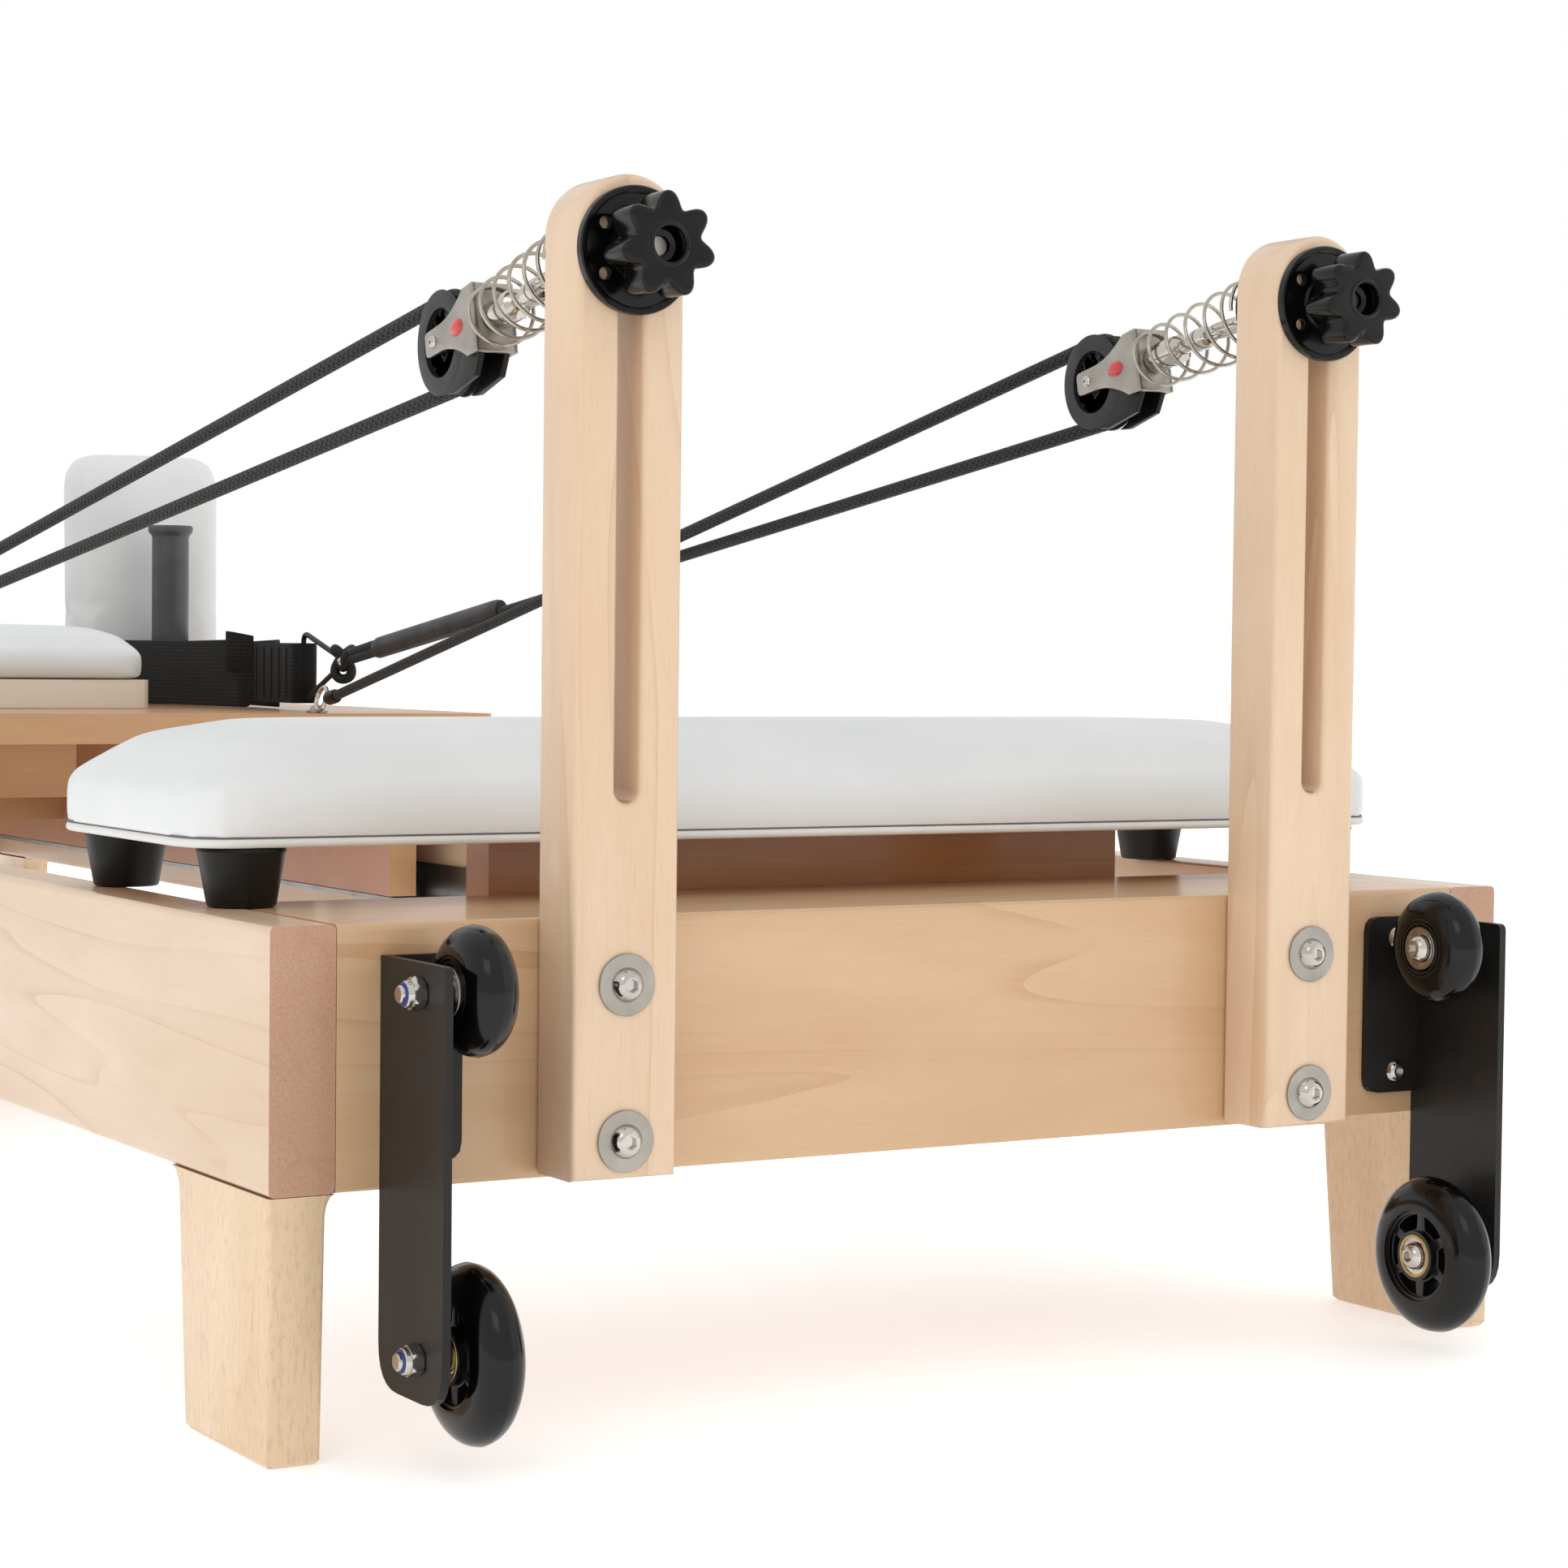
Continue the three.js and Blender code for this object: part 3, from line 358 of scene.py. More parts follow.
def mapleWood(name, grain, fleck=0.0, light=None, mid=None, lines=None, coat=None):
    material, tree, shader = newMaterial(name, **{"Coat Weight": woodLook["coat"] if coat is None else coat,
        "Coat Roughness": woodLook["coatGloss"], "Coat IOR": 1.5, "IOR": 1.5})
    axis = "xyz".index(grain)
    def drawn(share):
        return objectPlace(tree, tuple(share if i == axis else 1.0 for i in range(3)))
    slow = noise(tree, drawn(0.1), 9.0, 2.0, 0.45, 0.4)
    contour = math2(tree, "FRACT", math2(tree, "MULTIPLY", slow, 11.0))
    line = math2(tree, "MULTIPLY", spread(tree, contour, 0.0, 0.16, 1.0, 0.0),
        spread(tree, noise(tree, drawn(0.05), 60.0, 2.0), 0.38, 0.62))
    shadow = spread(tree, contour, 0.0, 1.0, 0.35, 0.0)
    cloud = spread(tree, noise(tree, drawn(0.25), 22.0, 4.0, 0.6), 0.3, 0.72)
    pores = spread(tree, noise(tree, drawn(0.035), 1500.0, 2.0, 0.6), 0.56, 0.72)
    shade = mix(tree, cloud, linear(light or woodLook["light"]), linear(mid or woodLook["mid"]))
    strength = woodLook["lineStrength"] if lines is None else lines
    shade = mix(tree, math2(tree, "MULTIPLY", shadow, strength * 0.6), shade, linear(woodLook["line"]))
    shade = mix(tree, math2(tree, "MULTIPLY", line, strength), shade, linear(woodLook["line"]))
    shade = mix(tree, math2(tree, "MULTIPLY", pores, woodLook["poreStrength"]), shade, linear(woodLook["line"]))
    if fleck:
        spots = spread(tree, noise(tree, drawn(0.3), 420.0, 3.0, 0.7, 0.3), 0.5, 0.64)
        shade = mix(tree, math2(tree, "MULTIPLY", spots, fleck), shade, linear(woodLook["line"]))
    normal = addNode(tree, "NewGeometry").outputs["Normal"]
    across = math2(tree, "ABSOLUTE", addNode(tree, "SeparateXYZ", {0: normal}).outputs[axis])
    speckle = spread(tree, noise(tree, objectPlace(tree), 700.0, 3.0, 0.7), 0.35, 0.7, 0.62, 0.95)
    endGrain = math2(tree, "MULTIPLY", spread(tree, across, 0.8, 0.95), speckle)
    shade = mix(tree, endGrain, shade, linear(woodLook["end"]))
    tree.links.new(shade, shader.inputs["Base Color"])
    tree.links.new(spread(tree, cloud, 0.0, 1.0, woodLook["gloss"], woodLook["gloss"] + 0.12),
        shader.inputs["Roughness"])
    bump(tree, shader, math2(tree, "ADD", pores, line), 0.00002, 0.5)
    return material


woodX = mapleWood("lacqueredMapleAcross", "x", light="#d2b08a", mid="#c8a179", lines=0.5)
woodY = mapleWood("lacqueredMapleLengthwise", "y", light="#dcc2a7", mid="#d2b393")
# the platform board: a rich brown beech tone, made darker still as painted shade for its place in the shadow under
# the pad
platformWoodWithPaintedShade = mapleWood("oiledBeechWithPaintedShade", "x", light="#ad6c25", mid="#9a5d1d", lines=0.3)
woodZ = mapleWood("lacqueredMapleUpright", "z", light="#e2c7ab", mid="#d8b998", lines=0.3)
woodLeg = mapleWood("lacqueredMapleLeg", "z", fleck=0.3, light="#e6caa8", mid="#dabb95", lines=0.2)
birchPly = mapleWood("birchPlywood", "x", light="#e8dece", mid="#ded0b9", lines=0.15, coat=0.2)
carriageWood = mapleWood("oiledBirchPlywood", "x", light="#c39a6e", mid="#b48860", lines=0.2, coat=0.2)
satinSteel = surface("satinStainlessSteel", "#a9a49c", 0.34, 1.0, "#9b968e", 60, 2600, 0.00001)
polishedSteel = surface("polishedStainlessSteel", "#c4c0ba", 0.12, 1.0, "#b4b0aa", 80, 3000, 0.000004, 0.05)
springSteel = surface("nickelPlatedSpringWire", "#b9b2a6", 0.15, 1.0, "#a59d90", 90, 2000, 0.000006, 0.06)
powderCoat = surface("blackPowderCoatedSteel", "#1a1918", 0.42, 0.0, "#211e1c", 30, 1800, 0.00006, 0.08,
    **{"Specular IOR Level": 0.3})
glossPlastic = surface("glossyBlackNylon", "#060606", 0.2, 0.0, "#0a0a0a", 50, 900, 0.00002, 0.08,
    **{"Specular IOR Level": 0.22, "Coat Weight": 0.1, "Coat Roughness": 0.05})
satinPlastic = surface("satinBlackPolypropylene", "#0d0c0b", 0.4, 0.0, "#131211", 40, 1400, 0.00005, 0.1,
    **{"Specular IOR Level": 0.25})
greyPlastic = surface("darkGreyMouldedNylon", "#2c2c2e", 0.42, 0.0, "#242426", 55, 1500, 0.00006, 0.1,
    **{"Specular IOR Level": 0.3})
urethane = surface("castBlackUrethane", "#050505", 0.15, 0.0, "#080808", 35, 700, 0.00003, 0.1,
    **{"Specular IOR Level": 0.25, "Coat Weight": 0.15, "Coat Roughness": 0.05})
hubPlastic = surface("blackHubNylon", "#0e0e0f", 0.3, 0.0, "#141415", 60, 1600, 0.00004, 0.1)
goldZinc = surface("yellowZincPlatedSteel", "#b79a5c", 0.28, 1.0, "#a88f5c", 90, 2200, 0.00001)
blueNylon = surface("blueNylonInsert", "#2b3f8f", 0.4, 0.0, "#26377d", 60, 1500, 0.00004)
redEnamel = surface("redEnamel", "#c41512", 0.2, 0.0, "#b4110f", 90, 1500, 0.00001, 0.05,
    **{"Coat Weight": 0.6, "Coat Roughness": 0.05})
darkAnodised = surface("darkGreyAnodisedAluminium", "#56575a", 0.45, 0.4, "#4c4d50", 45, 2200, 0.00002)
trackAluminium = surface("satinAluminium", "#a9acae", 0.35, 1.0, "#9a9da0", 40, 2000, 0.00001)
rubber = surface("blackRollerRubber", "#161515", 0.55, 0.0, "#1c1b1a", 45, 1400, 0.0001)
foam = surface("blackGripFoam", "#151515", 0.85, 0.0, "#1b1b1b", 60, 1300, 0.0003, 0.06,
    **{"Sheen Weight": 0.2})
strapThread = surface("blackStitchThread", "#191919", 0.7, 0.0, "#111111", 90, 2500, 0.00005)
plainRope = surface("blackKnottedRope", "#070707", 0.55, 0.0, "#131313", 320, 900, 0.0004, 0.1,
    **{"Specular IOR Level": 0.3})
heatShrink = surface("greyHeatShrinkSleeve", "#29292b", 0.45, 0.0, "#202022", 45, 700, 0.0001, 0.1,
    **{"Specular IOR Level": 0.35})
redSleeve = surface("redVinylSpringSleeve", "#a3191a", 0.4, 0.0, "#8f1516", 60, 1200, 0.00005, 0.08)
# painted shadow: a dark grey for the thin line that stands in for the shade in the gap between the platform piping
# and the pad's wall
seamShadow = surface("paintedShadowGapLine", "#6d6b68", 0.8, 0.0, "#62605e", 60, 1500, 0.00002)
whitePiping = surface("whiteVinylPiping", "#dededb", 0.42, 0.0, "#d8d8d5", 60, 1100, 0.00005)


def vinyl(name, colour, second):
    # upholstery vinyl: pebble grain from cell distances about 1 mm apart, and slow unevenness of the foam below
    material, tree, shader = newMaterial(name, **{"Coat Weight": 0.12, "Coat Roughness": 0.25, "IOR": 1.48})
    place = objectPlace(tree)
    cells = addNode(tree, "TexVoronoi", {"Vector": place, "Scale": 950.0}).outputs["Distance"]
    slow = noise(tree, place, 14.0, 2.0)
    fine = noise(tree, place, 1900.0, 2.0)
    shade = mix(tree, spread(tree, slow, 0.35, 0.65), linear(colour), linear(second))
    tree.links.new(shade, shader.inputs["Base Color"])
    tree.links.new(spread(tree, fine, 0.3, 0.7, 0.42, 0.52), shader.inputs["Roughness"])
    bump(tree, shader, math2(tree, "ADD", cells, math2(tree, "MULTIPLY", slow, 8.0)), 0.00005, 0.6)
    return material


whiteVinyl = vinyl("lightGreyUpholsteryVinyl", "#e0e2e2", "#dcdfdf")


def braid(name, colour, light, strands, pitch):
    # braided cord: two sets of diagonal strands, one from (along + around) and one from (along - around)
    material, tree, shader = newMaterial(name, **{"Specular IOR Level": 0.25, "Sheen Weight": 0.05,
        "Sheen Roughness": 0.5})
    uv = addNode(tree, "UVMap", uv_map="braid").outputs["UV"]
    parts = addNode(tree, "SeparateXYZ", {0: uv})
    along = math2(tree, "MULTIPLY", parts.outputs[0], 1 / pitch)
    around = math2(tree, "MULTIPLY", parts.outputs[1], float(strands))
    waves = []
    for operation in ("ADD", "SUBTRACT"):
        phase = math2(tree, "MULTIPLY", math2(tree, operation, along, around), 2 * math.pi)
        waves.append(math2(tree, "SINE", phase))
    height = math2(tree, "MAXIMUM", waves[0], waves[1])
    shade = mix(tree, spread(tree, height, -0.2, 1.0), linear(colour), linear(light))
    tree.links.new(shade, shader.inputs["Base Color"])
    tree.links.new(spread(tree, noise(tree, objectPlace(tree), 900.0), 0.3, 0.7, 0.5, 0.75),
        shader.inputs["Roughness"])
    bump(tree, shader, height, 0.0005, 0.8)
    return material


blackBraid = braid("braidedPolyesterRope", "#040404", "#1d1c1c", 6, 0.0062)


def webbingMaterial(name):
    # nylon webbing: ribs 1.6 mm apart across the band, crossed by fine threads
    material, tree, shader = newMaterial(name, **{"Specular IOR Level": 0.2, "Sheen Weight": 0.06,
        "Sheen Roughness": 0.5})
    place = objectPlace(tree)
    ribs = addNode(tree, "TexWave", {"Vector": place, "Scale": 100.0, "Distortion": 0.3},
        bands_direction="Z").outputs["Fac"]
    threads = addNode(tree, "TexWave", {"Vector": place, "Scale": 210.0, "Distortion": 0.2},
        bands_direction="Y").outputs["Fac"]
    height = math2(tree, "MULTIPLY", ribs, threads)
    tree.links.new(mix(tree, height, linear("#070707"), linear("#161514")), shader.inputs["Base Color"])
    tree.links.new(spread(tree, noise(tree, place, 500.0), 0.3, 0.7, 0.6, 0.8), shader.inputs["Roughness"])
    bump(tree, shader, height, 0.0003, 0.8)
    return material


webbing = webbingMaterial("wovenNylonWebbing")
print("materials made:", len(bpy.data.materials))


# Camera
view = {"place": (-0.9269, headY - 1.39517, 0.35823), "yaw": 30.88, "pitch": -2.2, "roll": 0.65,
    "lens": 79.78, "shift": (-0.0003, -0.0011)}
yaw, pitch, roll = (math.radians(view[k]) for k in ("yaw", "pitch", "roll"))
ahead = Vector((math.sin(yaw) * math.cos(pitch), math.cos(yaw) * math.cos(pitch), math.sin(pitch)))
level = Vector((math.cos(yaw), -math.sin(yaw), 0))
upright = level.cross(ahead)
rightward = level * math.cos(roll) + upright * math.sin(roll)
upward = upright * math.cos(roll) - level * math.sin(roll)
cameraData = bpy.data.cameras.new("camera")
cameraData.lens = view["lens"]
cameraData.sensor_width = 36
cameraData.shift_x, cameraData.shift_y = view["shift"]
cameraData.clip_start = 0.05
cameraData.dof.use_dof = False
camera = bpy.data.objects.new("camera", cameraData)
camera.matrix_world = axes(view["place"], rightward, upward, -ahead)
scene.collection.objects.link(camera)
scene.camera = camera


# Ropes
ropeLook = {"radius": 0.004, "sides": 16, "groove": 0.0226, "step": 0.012, "split": 0.38, "wrapSteps": 36}
sleeveLook = {"start": 0.066, "end": 0.298, "rise": 0.0022, "radius": 0.0060, "mouth": 0.0050, "lip": 0.0058,
    "flat": 1.4}
tailLook = {"start": 0.004, "end": 0.080, "rise": (0.0050, 0.0056)}


def ropePiece(name, points, body=None, stands=()):
    # the braid's own lengths: metres along the rope, and turns around it
    points = np.asarray(points, float)
    sidesCount = ropeLook["sides"]
    vertices, faces = sweepShape(points, ropeLook["radius"], sidesCount)
    piece = makePiece(name, vertices, faces, blackBraid, body, stands, 60, weld=False)
    run = np.concatenate([[0], np.cumsum(np.linalg.norm(np.diff(points, axis=0), axis=1))])
    rows = np.repeat(np.arange(len(points) - 1), sidesCount)
    columns = np.tile(np.arange(sidesCount), len(points) - 1)
    alongs = np.stack([run[rows], run[rows + 1], run[rows + 1], run[rows]], -1)
    arounds = np.stack([columns, columns, columns + 1, columns + 1], -1) / sidesCount
    uv = np.concatenate([np.stack([alongs, arounds], -1).reshape(-1, 2), np.zeros((2 * sidesCount, 2))])
    layer = piece.data.uv_layers.new(name="braid")
    layer.data.foreach_set("uv", uv.ravel())
    return piece


def straight(a, b, step=None):
    a, b = np.asarray(a, float), np.asarray(b, float)
    count = max(2, int(np.linalg.norm(b - a) / (step or ropeLook["step"])) + 1)
    t = np.linspace(0, 1, count)[:, None]
    return a * (1 - t) + b * t


def lengthOf(points):
    return float(np.linalg.norm(np.diff(points, axis=0), axis=1).sum())


ropeEnds = {}
for name, side in sides:
    axle = middle(f"pulley_sheave_{name}")
    ringEnd = np.array([side * 0.193, carriageY - 0.008, boardTop + 0.012])
    if side < 0:
        ringEnd = np.array([-0.200, carriageY + 0.040, boardTop + 0.050])
    loopEnd = np.array([side * 0.211, carriageY + 0.004, boardTop + 0.042])
    radius = ropeLook["groove"]

    def tangent(point, sign):
        # where a line from a far point touches the sheave's circle: its bearing plus or minus acos(r / distance)
        y, z = point[1] - axle.y, point[2] - axle.z
        return math.atan2(z, y) + sign * math.acos(radius / math.hypot(y, z))

    angles = np.linspace(tangent(ringEnd, 1), 2 * math.pi + tangent(loopEnd, -1), ropeLook["wrapSteps"])
    wrap = np.stack([0 * angles + axle.x, axle.y + radius * np.cos(angles), axle.z + radius * np.sin(angles)], -1)
    split = ropeLook["split"]
    upperSplit = wrap[0] * (1 - split) + ringEnd * split
    lowerSplit = wrap[-1] * (1 - split) + loopEnd * split
    bend = np.concatenate([straight(upperSplit, wrap[0])[:-1], wrap, straight(wrap[-1], lowerSplit)[1:]])
    upper = straight(ringEnd, upperSplit)
    lower = straight(loopEnd, lowerSplit)
    bendRope = ropePiece(f"rope_over_sheave_{name}", bend, stands=[f"rope_{name}"])
    upperRope = ropePiece(f"rope_upper_run_{name}", upper)
    lowerRope = ropePiece(f"rope_lower_run_{name}", lower)
    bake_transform(bendRope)
    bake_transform(upperRope)
    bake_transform(lowerRope)
    along = (lower[-1] - lower[0]) / lengthOf(lower)
    rise = np.array([0, 0, 1]) - along * along[2]
    lifted = loopEnd + rise * sleeveLook["rise"]
    sleeveLine = straight(lifted + along * sleeveLook["start"], lifted + along * sleeveLook["end"], 0.006)
    sleeveRadius = np.full(len(sleeveLine), sleeveLook["radius"])
    sleeveRadius[[0, -1]] = sleeveLook["mouth"]
    sleeveRadius[-2] = sleeveLook["lip"]
    sleeve = sweep(f"rope_sleeve_{name}", sleeveLine, sleeveRadius, heatShrink, sides=28, flat=sleeveLook["flat"])
    tailEnds = [loopEnd + along * tailLook[end] + rise * up for end, up in zip(("start", "end"), tailLook["rise"])]
    tailLine = straight(*tailEnds)
    tail = ropePiece(f"rope_tail_{name}", tailLine)
    for part in (sleeve, tail):
        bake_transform(part)
    ropeEnds[name] = (ringEnd, loopEnd)
print("ropes made")


# Timber
def dress(material, *names):
    for name in names:
        nodes[name].data.materials.clear()
        nodes[name].data.materials.append(material)


for name, side in sides:
    dress(woodY, f"side_rail_{name}")
    dress(trackAluminium, f"track_{name}")
    dress(powderCoat, f"wheel_bracket_{name}")
dress(woodX, "head_end_rail", "foot_end_rail")
dress(platformWoodWithPaintedShade, "platform_board")
dress(carriageWood, "carriage_board")
dress(birchPly, "headrest_base")
dress(powderCoat, "spring_bar")

# Legs: at each height a rounded rectangle whose inner sides follow a taper and a hollow fillet under the rail.
legLook = {"corner": 0.002, "fillet": 0.011, "rows": 9, "ease": 0.0015, "wide": 0.025, "widens": 0.002,
    "long": 0.098, "lengthens": 0.010, "flareWide": 0.42, "flareLong": 0.82}


def leg(name, node, side, end):
    low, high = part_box(node)
    height = high.z
    r = legLook["fillet"]
    angle = np.linspace(0, np.pi / 2, legLook["rows"])
    # the fillet is a quarter circle: out by r(1 - cos a) at height r sin a above its start
    z = np.concatenate([[0, legLook["ease"]], height - r + r * np.sin(angle)])
    z[-1] = height
    out = np.concatenate([[0, 0], r * (1 - np.cos(angle))])
    inset = np.concatenate([[legLook["ease"]], np.zeros(len(z) - 1)])
    wide = legLook["wide"] + legLook["widens"] * z / height + out * legLook["flareWide"]
    long = legLook["long"] + legLook["lengthens"] * z / height + out * legLook["flareLong"]
    rings = []
    for k in range(len(z)):
        i = inset[k]
        corners = [[i, i], [wide[k] - i, i], [wide[k] - i, long[k] - i], [i, long[k] - i]]
        rings.append(rounded(corners, legLook["corner"], 3))
    count = len(rings[0])
    xOut = low.x if side < 0 else high.x
    yEnd = low.y if end < 0 else high.y
    points = []
    for ring, level in zip(rings, z):
        x = xOut - side * ring[:, 0]
        y = yEnd - end * ring[:, 1]
        points.append(np.stack([x, y, np.full(count, level)], -1))
    faces = gridFaces(len(z), count)
    faces += [list(range(count)), list(range((len(z) - 1) * count, len(z) * count))[::-1]]
    piece = makePiece(name, np.concatenate(points), faces, woodLeg, "frame", [node], 40)
    return piece


for name, side in sides:
    leg(f"tapered_leg_head_{name}", f"leg_head_{name}", side, -1)
    leg(f"tapered_leg_foot_{name}", f"leg_foot_{name}", side, 1)

# Riser posts: round-topped, with a long slot whose edges are eased.
postLook = {"slotWidth": 0.012, "slotLow": 0.053, "slotHigh": 0.308, "ease": 0.003,
    "boltHeights": (0.138, 0.208), "washer": (0.014, 0.0045, 0.0016), "bolt": (0.0078, 0.0046, 0.0027)}


def hexRadius(apothem, angle):
    # a hexagon's reach at an angle: apothem over the cosine of the angle from the nearest flat's middle
    return apothem / np.cos((angle + np.pi / 6) % (np.pi / 3) - np.pi / 6)


def ringsShape(rows, place, segments=48):
    # like turnedShape, but a row's radius may be an array round the axis
    grid = []
    angle = np.linspace(0, 2 * np.pi, segments, endpoint=False)
    for radius, height in rows:
        r = np.broadcast_to(np.asarray(radius, float), (segments,))
        grid.append(np.stack([r * np.cos(angle), r * np.sin(angle), np.full(segments, height)], -1))
    return moved(np.concatenate(grid), place), gridFaces(len(rows), segments)


def buttonHead(place, radius, height, socket=0.0025, depth=0.0022):
    # a domed screw head with a hexagon socket
    angle = np.linspace(0, 2 * np.pi, 48, endpoint=False)
    hexagon = hexRadius(socket, angle)
    rows = [(0, height - depth), (hexagon * 0.98, height - depth), (hexagon, height - 0.0002),
        (np.maximum(hexagon + 0.0002, socket * 1.22), height)]
    reach = np.linspace(socket * 1.35 / radius, 1, 9)
    dome = [(radius * q, height * (1 - 0.9 * ((q - reach[0]) / (1 - reach[0])) ** 2.2)) for q in reach[1:]]
    rows += dome + [(radius * 0.99, 0.0), (0, 0.0)]
    return ringsShape(rows, place)


def washerShape(place, radius, bore, thickness, edge=0.0003):
    return turnedShape([(bore, 0), (radius - edge, 0), (radius, edge), (radius, thickness - edge),
        (radius - edge, thickness), (bore, thickness)], place, 64)


for name, side in sides:
    low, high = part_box(f"riser_post_{name}")
    half = (high.x - low.x) / 2
    crown = high.z - half
    outline = np.concatenate([[[-half, low.z], [half, low.z]], circle(half, (0, crown), 40, 0, math.pi)])
    r = postLook["slotWidth"] / 2
    slotLow, slotHigh = railTop + postLook["slotLow"] + r, railTop + postLook["slotHigh"] - r
    slot = np.concatenate([circle(r, (0, slotHigh), 16, 0, math.pi),
        circle(r, (0, slotLow), 16, math.pi, 2 * math.pi)])
    place = facing(((low.x + high.x) / 2, high.y, 0), (0, -1, 0))
    post = plate(f"slotted_post_{name}", outline, [slot], high.y - low.y, postLook["ease"], place, woodZ, "frame",
        [f"riser_post_{name}"], 3)
    washers, heads = [], []
    for z in postLook["boltHeights"]:
        at = ((low.x + high.x) / 2, low.y, z)
        washers.append(washerShape(facing(at, (0, -1, 0)), *postLook["washer"]))
        heads.append(buttonHead(facing((at[0], at[1] - postLook["washer"][2], z), (0, -1, 0)), *postLook["bolt"]))
    gathered(f"post_washers_{name}", washers, satinSteel, "frame")
    gathered(f"post_bolts_{name}", heads, polishedSteel, "frame")
print("timber made")


# Transport wheels
def nutShape(place, flats=0.0065, height=0.0055, collar=0.0026):
    # a lock nut: chamfered hexagon with a round collar on top
    angle = np.linspace(0, 2 * np.pi, 48, endpoint=False)
    hexagon = hexRadius(flats, angle)
    eased = np.minimum(hexagon, flats * 1.08)
    rows = [(0, 0), (eased, 0), (hexagon, 0.0006), (hexagon, height - 0.0008), (eased, height),
        (flats * 0.93, height), (flats * 0.9, height + collar - 0.0006), (flats * 0.8, height + collar),
        (flats * 0.66, height + collar), (0, height + collar)]
    return ringsShape(rows, place)


wheelLook = {"upper": {"inner": 0.0112, "shoulder": 0.013}, "lower": {"inner": 0.0232, "shoulder": 0.0165},
    "half": 0.012, "spokes": 6, "spacer": 0.0062}


def tyreProfile(radius, inner, shoulder, half):
    # tread: half an ellipse across the width, with a fine moulding seam at its middle
    angle = np.linspace(-np.pi / 2, np.pi / 2, 33)
    across = half * np.sin(angle)
    seam = 0.00025 * np.exp(-(across / 0.0005) ** 2)
    reach = radius - 0.0003 - shoulder + shoulder * np.cos(angle) + seam
    outer = list(zip(reach, across))
    return outer + [(inner + 0.002, half - 0.0004), (inner, half - 0.0016), (inner, 0.0016 - half),
        (inner + 0.002, 0.0004 - half)]


def bearing(prefix, centre, side, body):
    # a sealed ball bearing: outer race, recessed shield and inner race, seen from both faces
    h = 0.0125
    outer = [(0.0094, -h), (0.0108, -h), (0.011, 0.0004 - h), (0.011, h - 0.0004), (0.0108, h), (0.0094, h)]
    shield = [(0.0056, 0.001 - h), (0.0094, 0.0006 - h), (0.0094, h - 0.0006), (0.0056, h - 0.001)]
    inner = squareRing(0.0045, 0.0056, -h, h)
    place = facing(centre, (side, 0, 0))
    gathered(f"{prefix}_bearing_races", [turnedShape(outer, place), turnedShape(inner, place)],
        goldZinc if "lower" in prefix else satinSteel, body)
    turned(f"{prefix}_bearing_shield", shield, place, polishedSteel, body)


for name, side in sides:
    for level in ("upper", "lower"):
        node = f"transport_wheel_{level}_{name}"
        look = wheelLook[level]
        centre = middle(node)
        radius = (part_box(node)[1].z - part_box(node)[0].z) / 2
        half = wheelLook["half"]
        place = facing(centre, (side, 0, 0))
        tyre = turned(f"tyre_{level}_{name}", tyreProfile(radius, look["inner"], look["shoulder"], half),
            place, urethane, node, [node], 96)
        if level == "lower":
            windows = []
            for i in range(wheelLook["spokes"]):
                a = i * 2 * math.pi / wheelLook["spokes"]
                spread0, spread1 = 0.30, 0.40
                inner = circle(0.0138, count=6, start=a - spread0, end=a + spread0)
                outer = circle(0.0208, count=8, start=a + spread1, end=a - spread1)
                windows.append(rounded(np.concatenate([inner, outer]), 0.0008, 2))
            hubPlace = facing(centre - Vector((side * 0.0085, 0, 0)), (side, 0, 0))
            plate(f"spoked_hub_{name}", circle(0.0233, count=72), [circle(0.0109, count=48), *windows], 0.017,
                0.0007, hubPlace, hubPlastic, node)
            rim = squareRing(0.0215, 0.0234, -0.0105, 0.0105)
            collar = squareRing(0.0108, 0.0128, -0.0122, 0.0122)
            gathered(f"hub_rims_{name}", [turnedShape(rim, place), turnedShape(collar, place)], hubPlastic, node)
        else:
            rings = [turnedShape(squareRing(r, r + 0.0008, -half - 0.0002, half + 0.0002), place)
                for r in (0.0125, 0.0145)]
            gathered(f"wheel_face_rings_{name}", rings, hubPlastic, node)
        bearing(f"{level}_{name}", centre, side, node)
        y, z = centre.y, centre.z
        outer = halfWidth - 0.052
        head = buttonHead(facing((side * 0.2607, y, z), (-side, 0, 0)), 0.007, 0.0046, 0.0025)
        shank = turnedShape([(0, 0.2605), (0.004, 0.2605), (0.004, outer + 0.0105), (0.0034, outer + 0.0112),
            (0, outer + 0.0112)], facing((0, y, z), (side, 0, 0)), 32)
        nut = nutShape(facing((side * (outer + 0.0004), y, z), (side, 0, 0)))
        hexagon = hexRadius(wheelLook["spacer"], np.linspace(0, 2 * np.pi, 48, endpoint=False))
        spacer = ringsShape([(0, 0.2855), (hexagon, 0.2855), (hexagon, 0.2915), (0.0075, 0.2916),
            (0.0075, 0.2936), (0, 0.2936)], facing((0, y, z), (side, 0, 0)))
        bolt = gathered(f"axle_bolt_{level}_{name}", [head, shank, nut, spacer], polishedSteel, "frame",
            [f"wheel_axle_{level}_{name}"])
        turned(f"lock_ring_{level}_{name}", squareRing(0.0041, 0.0052, 0, 0.0006),
            facing((side * (outer + 0.0084), y, z), (side, 0, 0)), blueNylon, "frame")
    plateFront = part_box(f"riser_post_{name}")[1].y - 0.0043
    screws = [buttonHead(facing((side * 0.279, plateFront, z), (0, -1, 0)), 0.0058, 0.0034, 0.002)
        for z in (0.211, 0.141)]
    gathered(f"bracket_screws_{name}", screws, polishedSteel, "frame")
print("wheels made")


# Pulleys. Along the droop, Z runs back from the post; "back" below is a distance along it.
pulleyLook = {"droop": 11.3, "pivot": 0.008, "blockLength": 0.047, "stud": 0.0285}
flangeLook = {"radius": 0.0270, "thick": 0.0034, "ease": 0.0005, "screwCircle": 0.0195, "screwHole": 0.0027,
    "screwAngles": (35, 145, 215, 325)}


